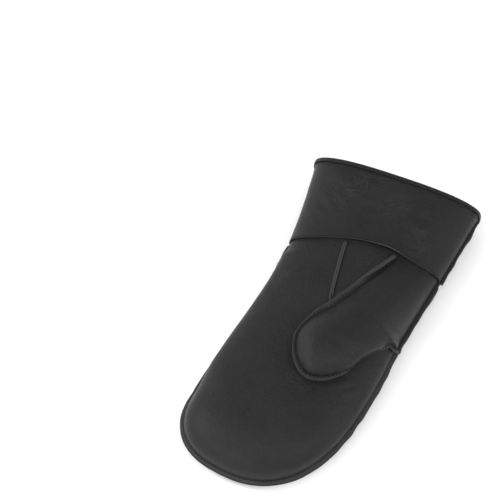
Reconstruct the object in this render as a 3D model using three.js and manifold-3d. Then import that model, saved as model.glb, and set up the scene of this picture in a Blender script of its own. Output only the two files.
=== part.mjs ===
// A sheepskin mitten for the left hand: black leather outside, sheared wool inside. It lies on
// its back with the palm up and the thumb folded over the palm, and its cuff is turned down flat.
// Millimetres. +X runs across the palm towards the thumb, +Y from the fingertips to the mouth of
// the cuff, and +Z up from the surface that the mitten lies on.
//
// Each leather panel is a skin cut to shape and sewn with its edges turned out, so a panel is an
// open grid of points on the grain side that is then given the leather's thickness.

import * as THREE from "three";
import { mergeVertices } from "three/addons/utils/BufferGeometryUtils.js";
import Module from "manifold-3d";

// Materials of the walls
const LEATHER = 1.3; // one skin
const WOOL = 7; // pile of the hand, pressed a little flat
const THUMB_WOOL = 4.5;
const CUFF_WOOL = 8;
const GAP = 0.3; // between two pieces that touch
const WOOL_PLAY = 0.9; // between a skin's flesh side and the base of its pile

// The hand, measured between its sewn edges
const HAND_LENGTH = 212.5; // fingertips to the cuff's seam
const HAND_WIDTH = 120;
const HAND_THICKNESS = 40;
const EDGE_HEIGHT = 15; // of the side seam above the surface
const LEFT_ROUND = 43; // length of the fingertip arc on the little finger's side
const RIGHT_ROUND = 100; // and on the index finger's side
const END_RISE = 42; // length over which the fingertips fill out
const TIP_ACROSS = -10; // the fingertip's place across the hand
const SEAM_EDGE = 3; // width of the sewn edge that stands out from the hand
const RIDGE = 3; // height of a seam that stands up on a panel
const RIDGE_RUN = 5; // length over which that seam rises from its end
const STEP_OVER = 1; // length in which the palm steps over from the thumb's seam to the gusset's
const EDGE_TAPER = 3.5; // length over which an edge that stands out runs down towards the cuff
const EDGE_STOP = 0.5; // how far from the cuff's seam it has run out
const BACK_RIDGE = 2.2; // the same on the back, pressed flat by the weight
const REST_CLEAR = 0.1; // of that ridge above the surface
const BACK_VALLEY = 9; // half width of the dip along the back seam

// The thumb
const THUMB_ROOT = 157; // fingertips of the hand to the crotch of the thumb
const THUMB_LENGTH = 63.3; // crotch to the tip of the thumb
const THUMB_WIDTH = 54;
const THUMB_TIP_WIDTH = 45; // where its end starts to round off
const THUMB_ROUND = 30; // length of that round end
const THUMB_LEAN = 15.5; // how far its tip leans towards the little finger
const THUMB_RISE = 15.5; // its crown above its seam
const THUMB_LIFT = 8; // its seam above the palm
const THUMB_LIFT_RUN = 25; // length over which the seam leaves the palm
const ROOT_LIFT = 3.3; // the seam above the palm at the root, on the ridge's side
const CROTCH_LIFT = 1.8; // and at the crotch
const CROTCH_LIFT_RUN = 8;
const CROTCH_NOTCH = 5; // how far the thumb's free edge steps in from the side seam
const NOTCH_RUN = 1.5;
const ROOT_LEAN = 0.42; // how far the ridge lies over at the root, as a share of a right angle
const UPRIGHT_RUN = 12; // length below the cuff on which the ridge stands upright
const HEEL_RUN = 60; // length over which the ball of the thumb rises out of the wrist

// The cuff
const CUFF_DEPTH = 68.8;
const CUFF_WIDTH = 143.4; // across the mouth, over its sewn edge
const CUFF_THICKNESS = 48;
const CUFF_EDGE_HEIGHT = 21; // of its side seam at the mouth
const LAP = 8; // how far the cuff's lower edge covers the hand
const LAP_PLAY = 0.6; // room between the lapped skins, beside GAP
const LAP_RISE_START = 24; // how far below the cuff's seam the back starts to rise for the lap
const LAP_RISE = 16; // and the length over which it does
const LAP_CLEAR = 2.2; // between the hand's wool and the cuff's
const WRIST_SLANT = 30; // how much further up the cuff's seam lies on the thumb's side
const MOUTH_SLANT = 24.5;
const SEAM_BOW = 9; // how far the cuff's seam curves up in the middle of the palm
const BINDING = 1; // thickness of the strip that binds the mouth
const BINDING_OUTSIDE = 3.4; // its width on the leather
const BINDING_INSIDE = 6.5; // its width on the wool
const LIP_ROUND = 0.1; // share of the bound wall over which the strip turns each corner
const BINDING_RUN = 7; // length over which the cuff rises off the surface to make room for it
const BOUND_WOOL = 2; // the pile left under the binding
const CUFF_PLAY = 0.45; // between the cuff's flesh side and the base of its pile
const SHEARED_RUN = 8; // length over which the pile is cut down towards the mouth

// Section shapes: the exponent of each superellipse, where 2 is an ellipse and more is fuller
const HAND_FULLNESS = 2.6;
const THUMB_FULLNESS = 2.2;
const THUMB_BACK_FULLNESS = 4;
const END_FULLNESS = 2.4;
const THUMB_END_FULLNESS = 1.8;
const CUFF_FLARE = 1.2; // exponent of the cuff's widening towards the mouth
const LEAN_SHARE = 0.6; // of the thumb's length, over which it leans
const GROW_SHARE = 0.4; // and over which it takes on its own width
const NOTCH_REACH = 6; // exponent that keeps the notch to the columns next to it
const GROOVE = 0.035; // level strip of the thumb beside its ridge, as a share of the thumb's width
const REST_PRESS = 1.14; // the back would hang this much deeper if the surface didn't flatten it

// Shares of HAND_LENGTH from the fingertips, and of HAND_WIDTH across
const HAND_SIDES = [
  { at: 0.0, left: -0.46, right: 0.565 },
  { at: 0.34, left: -0.458, right: 0.566 },
  { at: 0.48, left: -0.449, right: 0.568 },
  { at: 0.62, left: -0.437, right: 0.565 },
  { at: 0.745, left: -0.43, right: 0.546 },
  { at: 0.88, left: -0.437, right: 0.551 },
  { at: 1.0, left: -0.447, right: 0.552 },
  { at: 1.1, left: -0.45, right: 0.552 },
];
// Shares of HAND_LENGTH along, of HAND_THICKNESS for the palm and of EDGE_HEIGHT for the side seam
const HAND_HEIGHTS = [
  { at: 0.0, palm: 0.93, edge: 0.85 },
  { at: 0.25, palm: 0.96, edge: 1.0 },
  { at: 0.45, palm: 0.95, edge: 1.0 },
  { at: 0.65, palm: 0.94, edge: 1.0 },
  { at: 0.85, palm: 1.0, edge: 1.06 },
  { at: 1.0, palm: 1.02, edge: 1.2 },
  { at: 1.1, palm: 1.02, edge: 1.22 },
];
// The two seams on the palm: shares of the length from the crotch to the cuff, and of HAND_WIDTH
const PALM_SEAMS = [
  { at: 0.0, gusset: 0.046, thumb: 0.046 },
  { at: 0.15, gusset: 0.008, thumb: 0.074 },
  { at: 0.4, gusset: -0.031, thumb: 0.126 },
  { at: 0.7, gusset: -0.072, thumb: 0.19 },
  { at: 1.0, gusset: -0.104, thumb: 0.256 },
  { at: 1.2, gusset: -0.122, thumb: 0.298 },
];
const GUSSET_START = 0.09; // share at which the gusset's point lies
const GUSSET_COLUMNS = [0.2, 0.5, 0.8]; // shares of its width
const HEEL_SHARES = [0, 0.14, 0.3, 0.48, 0.68, 1]; // rows between the crotch and the cuff

// How finely the skins are divided
const TIP_ROWS = 7;
const BODY_ROWS = 9;
const HALF_COLUMNS = 8;
const THUMB_COLUMNS = 12;
const CUFF_ROWS = 4;
const CUFF_COLUMNS = 18;
const WOOL_COLUMNS = 10;
const WOOL_ROWS = 6;
const PILE_ROWS = 3;
const SHEARED_ROWS = [0.5, 0.12, 0]; // shares of SHEARED_RUN before the binding
const SLOPE_STEP = 0.2; // over which a surface's direction is measured
const NEAREST_ROW = 0.8; // no row comes nearer to a skin's end
const ROUNDING_ROW = 6; // below the cuff's seam, where the rows close up for the lap

const clamp = (t) => Math.min(1, Math.max(0, t));
const lerp = (a, b, t) => a + (b - a) * t;
const smooth = (t) => clamp(t) ** 2 * (3 - 2 * clamp(t));
// 0 to 1 along a quarter of a superellipse, upright at 0 and level at 1
const rise = (t, n) => (1 - (1 - clamp(t)) ** n) ** (1 / n);
// 0, 1, 0 over a whole arch, upright at both ends
const arch = (t, n) => Math.max(0, 1 - Math.abs(2 * clamp(t) - 1) ** n) ** (1 / n);
const range = (n) => Array.from({ length: n + 1 }, (_, i) => i / n);
const eased = (n) => range(n).map((t) => (1 - Math.cos(Math.PI * t)) / 2);

// The value of one column of a table at a place between its rows, on a smooth curve
function between(table, column, at) {
  const last = table.length - 2;
  const i = Math.min(last, Math.max(0, table.findIndex((row) => row.at > at) - 1));
  const row = at >= table[last + 1].at ? last : i;
  const slope = (k) => {
    const a = table[Math.max(0, k - 1)];
    const b = table[Math.min(last + 1, k + 1)];
    return (b[column] - a[column]) / (b.at - a.at);
  };
  const [p, q] = [table[row], table[row + 1]];
  const span = q.at - p.at;
  const t = clamp((at - p.at) / span);
  const [t2, t3] = [t * t, t * t * t];
  return (
    p[column] * (2 * t3 - 3 * t2 + 1) +
    slope(row) * span * (t3 - 2 * t2 + t) +
    q[column] * (3 * t2 - 2 * t3) +
    slope(row + 1) * span * (t3 - t2)
  );
}

// The plan of the hand. `v` is the distance from the fingertips along the hand.
const HAND_END = HAND_LENGTH + LAP;
const lapFit = LEATHER + GAP + LAP_PLAY; // from one lapped skin's grain side to the other's
const fromRoot = (v) => (v - THUMB_ROOT) / (HAND_LENGTH - THUMB_ROOT);
const SEAM_HALF = GAP / 2 + LEATHER; // from the middle of a seam to the grain side of either skin
// How much of a sewn edge stands out: none where the cuff laps over it
const edgeShare = (v) => smooth((HAND_LENGTH - EDGE_STOP - v) / EDGE_TAPER);

function handLeft(v, inset = 0) {
  const side = between(HAND_SIDES, "left", v / HAND_LENGTH) * HAND_WIDTH + inset;
  return lerp(TIP_ACROSS, side, rise((v - inset) / (LEFT_ROUND - inset), END_FULLNESS));
}
function handRight(v, inset = 0) {
  const side = between(HAND_SIDES, "right", v / HAND_LENGTH) * HAND_WIDTH - inset;
  return lerp(TIP_ACROSS, side, rise((v - inset) / (RIGHT_ROUND - inset), END_FULLNESS));
}
const handAcross = (v, x) => clamp((x - handLeft(v)) / (handRight(v) - handLeft(v) || 1));
const slant = (v) => WRIST_SLANT * smooth(fromRoot(v));
const bow = (v) => SEAM_BOW * smooth(fromRoot(v));
// The place along the mitten of a point of row `v`: rows run straight across the fingers and
// slant at the wrist, and on the palm they bow with the cuff's seam
function along(v, x, onPalm) {
  const t = handAcross(v, x);
  return v + slant(v) * (t - 0.5) + (onPalm ? bow(v) * Math.sin(Math.PI * t) ** 2 : 0);
}

// Heights of the hand's grain side
const edgeHeight = (v) => between(HAND_HEIGHTS, "edge", v / HAND_LENGTH) * EDGE_HEIGHT;
const palmTop = (v) => between(HAND_HEIGHTS, "palm", v / HAND_LENGTH) * HAND_THICKNESS;
const lapLift = (v) => lapFit * smooth((v - HAND_LENGTH + LAP_RISE_START) / LAP_RISE);

function palmHeight(v, x) {
  const full = rise(v / END_RISE, END_FULLNESS) * arch(handAcross(v, x), HAND_FULLNESS);
  return lerp(edgeHeight(v) + SEAM_HALF, palmTop(v), full);
}
const palmPoint = (v, x) => new THREE.Vector3(x, along(v, x, true), palmHeight(v, x));
function palmNormal(v, x) {
  const step = SLOPE_STEP;
  const at = Math.min(handRight(v) - 2 * step, Math.max(handLeft(v) + 2 * step, x));
  const across = palmPoint(v, at + step).sub(palmPoint(v, at - step));
  const lengthways = palmPoint(v + step, at).sub(palmPoint(v - step, at));
  return across.cross(lengthways).normalize();
}
const backSeam = (v) => lerp(TIP_ACROSS, (handLeft(v) + handRight(v)) / 2, smooth(v / RIGHT_ROUND));
// The height under the back of the lap and of the dip along the back seam
function backFloor(v, x, width = BACK_VALLEY) {
  const valley = 1 - Math.min(1, Math.abs(x - backSeam(v)) / width) ** 2;
  return lapLift(v) + BACK_RIDGE * edgeShare(v) * valley * valley;
}
function backHeight(v, x) {
  const base = edgeHeight(v) - SEAM_HALF;
  const full = rise(v / END_RISE, END_FULLNESS) * arch(handAcross(v, x), HAND_FULLNESS);
  const hung = Math.max(0, 1 - REST_PRESS * full) * (base - lapLift(v)) + lapLift(v);
  return Math.min(base, Math.max(hung, backFloor(v, x)));
}

// The thumb. Its plan takes over from the palm's seams below the root.
const THUMB_END = THUMB_ROOT - THUMB_LENGTH;
const down = (v) => (THUMB_ROOT - v) / THUMB_LENGTH; // 0 at the root, 1 at the tip
const thumbSeamOnPalm = (v) => between(PALM_SEAMS, "thumb", fromRoot(v)) * HAND_WIDTH;
const gussetSeam = (v) => between(PALM_SEAMS, "gusset", fromRoot(v)) * HAND_WIDTH;

function thumbSides(v, inset = 0) {
  if (v >= THUMB_ROOT) return [thumbSeamOnPalm(v) + inset, handRight(v) - inset];
  const d = down(v);
  const [rootLeft, rootRight] = [thumbSeamOnPalm(THUMB_ROOT), handRight(THUMB_ROOT)];
  const axis = (rootLeft + rootRight) / 2 - THUMB_LEAN * Math.sin((Math.PI / 2) * Math.min(1, d / LEAN_SHARE));
  const own = lerp(THUMB_WIDTH, THUMB_TIP_WIDTH, d) / 2;
  const grown = smooth(d / GROW_SHARE);
  const half = lerp((rootRight - rootLeft) / 2, own, grown) - inset;
  const round = rise((v - THUMB_END - inset) / (THUMB_ROUND - inset), THUMB_END_FULLNESS);
  const notch = CROTCH_NOTCH * smooth((THUMB_ROOT - v) / NOTCH_RUN) * (1 - grown);
  return [axis - half * round, axis + half * round - notch, notch];
}
// A place across the thumb: the notch at the crotch bends only the columns next to it
const thumbAcross = ([left, right, notch = 0], t) => lerp(left, right + notch, t) - notch * t ** NOTCH_REACH;
// Height of the thumb's own seam above the palm, at its left and right side
function thumbLift(v, t) {
  const free = smooth((THUMB_ROOT - v) / THUMB_LIFT_RUN);
  const heel = smooth((THUMB_ROOT + THUMB_LIFT_RUN - v) / THUMB_LIFT_RUN);
  const left = lerp(ROOT_LIFT * heel, THUMB_LIFT, free);
  const right = lerp(CROTCH_LIFT * smooth((THUMB_ROOT + CROTCH_LIFT_RUN - v) / CROTCH_LIFT_RUN), THUMB_LIFT, free);
  return lerp(left, right, t);
}
const thumbEnd = (v, inset = 0) => rise((v - THUMB_END - inset) / (THUMB_ROUND - inset), 2);
const thumbCrown = (v) => THUMB_RISE * smooth((HAND_LENGTH - v) / HEEL_RUN);

// A seam on the palm or of the thumb: its foot, the way its edge stands out, and `across`, the way
// from the middle of the seam to the skin on top of it. `lean` is 0 for an edge that stands up from
// the palm and 1 for one that lies along it.
function seamFrame(v, seam, lift, lean, outward = -1) {
  const step = SLOPE_STEP / 4;
  const normal = palmNormal(v, seam(v));
  const foot = palmPoint(v, seam(v)).addScaledVector(normal, lift);
  const run = palmPoint(v + step, seam(v + step)).sub(palmPoint(v - step, seam(v - step)));
  const out = v < THUMB_END + step ? new THREE.Vector3(0, -1, 0) : normal.clone().cross(run);
  out.addScaledVector(normal, -out.dot(normal)).normalize();
  if (v >= THUMB_END + step) out.multiplyScalar(-outward);
  const turn = (Math.PI / 2) * lean;
  return {
    foot,
    edge: out.clone().multiplyScalar(Math.sin(turn)).addScaledVector(normal, Math.cos(turn)),
    across: out.clone().multiplyScalar(-Math.cos(turn)).addScaledVector(normal, Math.sin(turn)),
  };
}
const ridgeLean = (v) =>
  v < THUMB_ROOT
    ? lerp(ROOT_LEAN, 1, smooth((THUMB_ROOT - v) / THUMB_LIFT_RUN))
    : ROOT_LEAN * smooth((HAND_LENGTH - UPRIGHT_RUN - v) / THUMB_LIFT_RUN);
const thumbSeam = (v) => seamFrame(v, (w) => thumbSides(w)[0], thumbLift(v, 0), ridgeLean(v));
const gussetFrame = (v) => seamFrame(v, gussetSeam, 0, 0);

// The cuff. `c` runs from 0 at its lower edge to 1 at the mouth.
const cuffRow = (c) => HAND_LENGTH + CUFF_DEPTH * c;
const bindingRoom = BINDING + GAP;
function cuffSection(c) {
  const flare = c ** CUFF_FLARE;
  return {
    left: lerp(handLeft(HAND_LENGTH) - lapFit, -CUFF_WIDTH / 2, flare),
    right: lerp(handRight(HAND_LENGTH) + lapFit, CUFF_WIDTH / 2 - SEAM_EDGE, flare),
    top: lerp(palmTop(HAND_LENGTH) + lapFit, CUFF_THICKNESS, smooth(c)),
    edge: lerp(edgeHeight(HAND_LENGTH), CUFF_EDGE_HEIGHT, c),
    slant: lerp(WRIST_SLANT, MOUTH_SLANT, c),
    bow: SEAM_BOW * (1 - smooth(c)),
  };
}
// How much of the cuff's sewn edge stands out: none under the binding
const cuffEdgeShare = (c) => smooth(((1 - c) * CUFF_DEPTH - BINDING_OUTSIDE - 1) / SEAM_EDGE);
// A point of the cuff's section: `turn` is 0 at the side seam, 1 at the other side over the palm,
// and 2 back at the seam under the hand
function cuffPoint(c, turn, inset = 0, seam = 0) {
  const s = cuffSection(c);
  const onPalm = turn <= 1;
  const t = 1 - (onPalm ? turn : 2 - turn);
  const x = lerp(s.left + inset, s.right - inset, t);
  const full = arch(t, HAND_FULLNESS);
  const edge = s.edge + (onPalm ? 1 : -1) * seam * t;
  const under = (edge - inset) * REST_PRESS;
  const floor = bindingRoom * smooth((c * CUFF_DEPTH - CUFF_DEPTH + BINDING_INSIDE + BINDING_RUN) / BINDING_RUN);
  const z = onPalm ? lerp(edge, s.top - inset, full) : Math.max(inset + floor, edge - under * full);
  const reach = clamp((x - s.left) / (s.right - s.left));
  const y = cuffRow(c) + s.slant * (reach - 0.5) + (onPalm ? s.bow * Math.sin(Math.PI * t) ** 2 : 0);
  return new THREE.Vector3(x, y, z);
}

// An open mesh from rows of points. Rows may shrink to a point, and empty triangles are dropped.
// `flip` turns it over without changing which corners of each cell are joined, so that two skins
// sewn along a twisting seam stay parallel.
function surface(rows, flip = false) {
  const position = rows.flatMap((row) => row.flatMap((p) => [p.x, p.y, p.z]));
  const width = rows[0].length;
  const index = [];
  for (let i = 0; i + 1 < rows.length; i++) {
    for (let j = 0; j + 1 < width; j++) {
      const [a, b, c, d] = [i * width + j, i * width + j + 1, (i + 1) * width + j + 1, (i + 1) * width + j];
      index.push(...(flip ? [a, c, b, a, d, c] : [a, b, c, a, c, d]));
    }
  }
  return tidy(position, index);
}
function tidy(position, index) {
  const geometry = new THREE.BufferGeometry();
  geometry.setAttribute("position", new THREE.Float32BufferAttribute(position, 3));
  geometry.setIndex(index);
  const merged = mergeVertices(geometry, 1e-2);
  const kept = [];
  const all = merged.index.array;
  for (let i = 0; i < all.length; i += 3) {
    const [a, b, c] = [all[i], all[i + 1], all[i + 2]];
    if (a !== b && b !== c && c !== a) kept.push(a, b, c);
  }
  return { position: Array.from(merged.attributes.position.array), index: kept };
}

const MITRE_LIMIT = 1.7;
// Gives an open surface a thickness on its inner side, as a skin has, with a wall round its border
function thicken({ position, index }, thickness) {
  const point = (i) => new THREE.Vector3().fromArray(position, 3 * i);
  const faces = [];
  for (let i = 0; i < index.length; i += 3) {
    const [a, b, c] = index.slice(i, i + 3);
    const cross = point(b).sub(point(a)).cross(point(c).sub(point(a)));
    faces.push({ corners: [a, b, c], area: cross.length(), normal: cross.normalize() });
  }
  const count = position.length / 3;
  // Each inner point keeps the thickness from all the faces that meet at its outer point
  const fits = Array.from({ length: count }, () => ({ planes: new Array(9).fill(0), sum: new THREE.Vector3() }));
  for (const { corners, normal } of faces) {
    corners.forEach((k, i) => {
      const [p, q] = [corners[(i + 1) % 3], corners[(i + 2) % 3]].map((j) => point(j).sub(point(k)));
      const share = p.angleTo(q);
      const n = normal.toArray();
      fits[k].planes = fits[k].planes.map((value, m) => value + share * n[m % 3] * n[Math.floor(m / 3)]);
      fits[k].sum.addScaledVector(normal, share);
    });
  }
  const inner = fits.flatMap(({ planes, sum }, k) => {
    const steady = 0.01 * (planes[0] + planes[4] + planes[8]);
    const fit = new THREE.Matrix3().fromArray(planes.map((value, m) => value + (m % 4 ? 0 : steady)));
    const way = sum.applyMatrix3(fit.invert()).clampLength(1, MITRE_LIMIT);
    return point(k).addScaledVector(way, -thickness).toArray();
  });
  const edges = new Map();
  faces.forEach(({ corners: [a, b, c] }) => [[a, b], [b, c], [c, a]].forEach(([p, q]) => edges.set(p + "," + q, [p, q])));
  const walls = [...edges.values()].filter(([p, q]) => !edges.has(q + "," + p));
  const all = [...index];
  for (const { corners: [a, b, c] } of faces) all.push(count + a, count + c, count + b);
  for (const [p, q] of walls) all.push(q, p, count + p, q, count + p, count + q);
  return tidy([...position, ...inner], all);
}

// A closed body between an upper and a lower sheet of rows
function pillow(rows, upper, lower) {
  const [top, bottom] = [rows.map(upper), rows.map(lower)];
  const side = (sheet, j) => sheet.map((row) => row.at(j));
  const strips = [
    top,
    bottom.map((row) => [...row].reverse()),
    [bottom[0], top[0]],
    [top.at(-1), bottom.at(-1)],
    [side(top, 0), side(bottom, 0)],
    [side(bottom, -1), side(top, -1)],
  ];
  return joined(strips.map((strip) => surface(strip)));
}
function joined(meshes) {
  const [position, index] = [[], []];
  for (const mesh of meshes) {
    const offset = position.length / 3;
    mesh.position.forEach((value) => position.push(value));
    mesh.index.forEach((i) => index.push(i + offset));
  }
  return tidy(position, index);
}

// Rows of the hand from `from` to `to`, closer together towards the fingertips
function handRows(from, to, start = 0, count = BODY_ROWS) {
  const tip = range(TIP_ROWS).map((t) => start + END_RISE * (1 - Math.cos((Math.PI / 2) * t)));
  const body = range(count).slice(1).map((t) => lerp(start + END_RISE, HAND_LENGTH - ROUNDING_ROW, t));
  const lap = [HAND_LENGTH - EDGE_TAPER, HAND_LENGTH - 2 * EDGE_STOP, HAND_END];
  const inside = [...tip, ...body, ...lap].filter((v) => v > from + NEAREST_ROW && v < to - NEAREST_ROW);
  return [from, ...inside, to];
}

// Outward direction of the hand's side in plan
function sideways(side, v) {
  if (v === 0) return new THREE.Vector2(0, -1);
  const step = SLOPE_STEP / 20;
  const at = (w) => new THREE.Vector2(side(w), along(w, side(w), false));
  const run = at(v + step).sub(at(Math.max(0, v - step)));
  const out = new THREE.Vector2(run.y, -run.x).normalize();
  return side(v + step) - TIP_ACROSS > 0 ? out : out.negate();
}
function sewnEdge(root, side, v, width = SEAM_EDGE * edgeShare(v)) {
  const out = sideways(side, v);
  return new THREE.Vector3(root.x + out.x * width, root.y + out.y * width, root.z);
}

// Leather panels

function backPanel(side, sign) {
  const rows = handRows(0, HAND_END).map((v) => {
    const seam = backSeam(v) + sign * SEAM_HALF;
    const end = sign * Math.max(sign * side(v), sign * TIP_ACROSS + SEAM_HALF);
    const points = eased(HALF_COLUMNS).map((t) => {
      const x = lerp(seam, end, t);
      return new THREE.Vector3(x, along(v, x, false), backHeight(v, x));
    });
    const foot = points[0].clone();
    foot.z = Math.max(lapLift(v) + REST_CLEAR, foot.z - BACK_RIDGE * edgeShare(v));
    return [foot, ...points, sewnEdge(points.at(-1), side, v)];
  });
  return surface(rows, sign > 0);
}

// The palm in two parts that share a row: below the crotch it spans the hand, above it ends at a
// seam, first the thumb's and then the gusset's
const gussetTip = lerp(THUMB_ROOT, HAND_LENGTH, GUSSET_START);
// Rows of the heel of the hand, shared by the skins that meet there
const heelRows = HEEL_SHARES.map((t) => lerp(THUMB_ROOT, HAND_LENGTH - EDGE_STOP - EDGE_TAPER - 1, t));
const lapRows = [HAND_LENGTH - 5 * EDGE_STOP, HAND_LENGTH - EDGE_STOP, HAND_END];
function palmPanel() {
  const root = THUMB_ROOT - NOTCH_RUN + GAP / 2;
  const frameAt = (v) => (v < gussetTip ? thumbSeam(Math.max(v, THUMB_ROOT)) : gussetFrame(v));
  const columns = eased(2 * HALF_COLUMNS).slice(0, HALF_COLUMNS + 2);
  const rootAcross = handAcross(root, thumbSides(THUMB_ROOT)[0] - SEAM_HALF);
  const rowOf = (v, whole) => {
    const { foot, edge, across } = frameAt(v);
    const border = foot.clone().addScaledVector(across, -SEAM_HALF);
    const middle = whole ? lerp(handLeft(v), handRight(v), rootAcross) : border.x;
    const low = columns.map((t) => lerp(handLeft(v), middle, t / columns.at(-1)));
    const high = range(HALF_COLUMNS - 1).slice(1).map((t) => lerp(middle, handRight(v), Math.sin((Math.PI / 2) * t)));
    const points = (whole ? [...low, ...high] : low).map((x) => palmPoint(v, x));
    const left = sewnEdge(points[0], handLeft, v);
    if (whole) return [left, ...points, sewnEdge(points.at(-1), handRight, v)];
    points[points.length - 1] = border;
    // The ridge dips where the palm's border steps over from the one seam to the other
    const height = RIDGE * edgeShare(v) * smooth((Math.abs(v - gussetTip + STEP_OVER / 2) + STEP_OVER) / RIDGE_RUN);
    return [left, ...points, border.clone().addScaledVector(edge, height)];
  };
  const upperRows = [...heelRows.filter((v) => v < gussetTip - 2 || v > gussetTip + 1), ...lapRows, gussetTip - STEP_OVER, gussetTip].sort((a, b) => a - b);
  const lowerRows = handRows(0, root).map((v) => rowOf(v, true));
  const shared = lowerRows.at(-1).slice(0, columns.length + 1);
  const upper = [[...shared, shared.at(-1)], ...upperRows.map((v) => rowOf(v, false))];
  return joined([surface(lowerRows), surface(upper)]);
}

function gussetPanel() {
  const tip = gussetTip + SEAM_HALF + GAP;
  const rows = [tip, ...[...heelRows, ...lapRows].filter((v) => v > tip + 1)].map((v) => {
    const [near, far] = [gussetFrame(v), thumbSeam(v)];
    const left = near.foot.clone().addScaledVector(near.across, SEAM_HALF);
    const right = far.foot.clone().addScaledVector(far.across, -SEAM_HALF);
    const middle = GUSSET_COLUMNS.map((t) => palmPoint(v, lerp(left.x, right.x, t)));
    const height = RIDGE * edgeShare(v);
    return [
      left.clone().addScaledVector(near.edge, height * smooth((v - tip) / RIDGE_RUN)),
      left,
      ...middle,
      right,
      right.clone().addScaledVector(far.edge, height),
    ].reverse();
  });
  return surface(rows, true);
}

function thumbRows(from, to) {
  const tip = range(TIP_ROWS - 1).map((t) => THUMB_END + THUMB_ROUND * (1 - Math.cos((Math.PI / 2) * t)));
  const free = range(4).slice(1).map((t) => lerp(THUMB_END + THUMB_ROUND, THUMB_ROOT - NOTCH_RUN - 1, t));
  const rows = [...tip, ...free, THUMB_ROOT - NOTCH_RUN, ...heelRows, ...lapRows];
  return [from, ...rows.filter((v) => v > from + 0.8 && v < to - 0.5), to];
}
// The right side of the thumb's skins: its own seam below the root, the hand's side seam above
function thumbRightSeam(v) {
  if (v < THUMB_ROOT) return seamFrame(v, (w) => thumbSides(w)[1], thumbLift(v, 1), 1, 1);
  const side = handRight(v);
  const normal = palmNormal(v, side);
  const plan = sideways(handRight, v);
  const foot = palmPoint(v, side).addScaledVector(normal, thumbLift(v, 1));
  return { foot, edge: new THREE.Vector3(plan.x, plan.y, 0), across: new THREE.Vector3() };
}
// `face` is 1 for the skin on top of the thumb and -1 for the one that faces the palm
function thumbPanel(from, to, face) {
  const rows = thumbRows(from, to).map((v) => {
    const frames = [thumbSeam(v), thumbRightSeam(v)];
    const borders = frames.map(({ foot, across }) => foot.clone().addScaledVector(across, face * SEAM_HALF));
    const points = eased(THUMB_COLUMNS).map((t) => {
      const x = thumbAcross(thumbSides(v), t);
      const groove = face > 0 ? GROOVE * (1 - smooth((THUMB_ROOT - v) / THUMB_LIFT_RUN)) : 0;
      const full = arch((t - groove) / (1 - groove), face > 0 ? THUMB_FULLNESS : THUMB_BACK_FULLNESS) * thumbEnd(v);
      const lift = thumbLift(v, t);
      const normal = palmNormal(v, x);
      const p = palmPoint(v, x);
      if (face > 0) p.addScaledVector(normal, lift).add(new THREE.Vector3(0, 0, thumbCrown(v) * full));
      else p.addScaledVector(normal, lift - (lift - GAP) * full);
      const shift = [0, 1].map((k) => borders[k].clone().sub(frames[k].foot));
      return p.addScaledVector(shift[0].lerp(shift[1], t), 1 - full);
    });
    const width = SEAM_EDGE * edgeShare(v);
    const edges = frames.map(({ edge }, k) => borders[k].clone().addScaledVector(edge, width));
    return [edges[0], ...points, edges[1]];
  });
  return surface(rows, face < 0);
}

// The cuff is one band. Its ends meet in a seam on the thumb's side, with both edges turned out.
function cuffBand() {
  const mouth = [BINDING_INSIDE + BINDING_RUN, BINDING_INSIDE, BINDING_OUTSIDE + 1, 0].map((y) => 1 - y / CUFF_DEPTH);
  const rows = [...range(CUFF_ROWS).map((t) => t * mouth[0]), ...mouth.slice(1)];
  const grid = rows.map((c) => {
    const turns = eased(CUFF_COLUMNS);
    const over = turns.map((turn) => cuffPoint(c, turn, 0, SEAM_HALF));
    const under = turns.slice(1).map((turn) => cuffPoint(c, 1 + turn, 0, SEAM_HALF));
    const points = [...over, ...under];
    const leaf = (p) => new THREE.Vector3(p.x + SEAM_EDGE * cuffEdgeShare(c), p.y, p.z);
    return [leaf(points[0]), ...points, leaf(points.at(-1))];
  });
  return surface(grid, true);
}

// A closed sleeve between two rings of rows
function sleeve(outer, inner) {
  const ends = [[inner[0], outer[0]], [outer.at(-1), inner.at(-1)]];
  return joined([surface(outer), surface(inner.map((row) => [...row].reverse())), ...ends.map((end) => surface(end))]);
}

function cuffRing(c, inset, seam = 0) {
  const turns = eased(CUFF_COLUMNS);
  const over = turns.map((turn) => cuffPoint(c, turn, inset, seam));
  const under = turns.slice(1).map((turn) => cuffPoint(c, 1 + turn, inset, seam));
  return [...over, ...under, over[0]].reverse();
}

function cuffWool() {
  const start = (LAP + LAP_CLEAR) / CUFF_DEPTH;
  const bound = BINDING_INSIDE + GAP;
  const cut = (t) => 1 - (bound + SHEARED_RUN * t) / CUFF_DEPTH;
  const rows = [...range(PILE_ROWS).map((t) => lerp(start, cut(1), t)), ...SHEARED_ROWS.map(cut), 1];
  const pile = (c) => lerp(BOUND_WOOL, CUFF_WOOL, rise(((1 - c) * CUFF_DEPTH - bound) / SHEARED_RUN, 2));
  const base = LEATHER + CUFF_PLAY;
  const outer = rows.map((c) => cuffRing(c, base));
  const inner = rows.map((c) => cuffRing(c, base + pile(c)));
  return sleeve(outer, inner);
}

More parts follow.
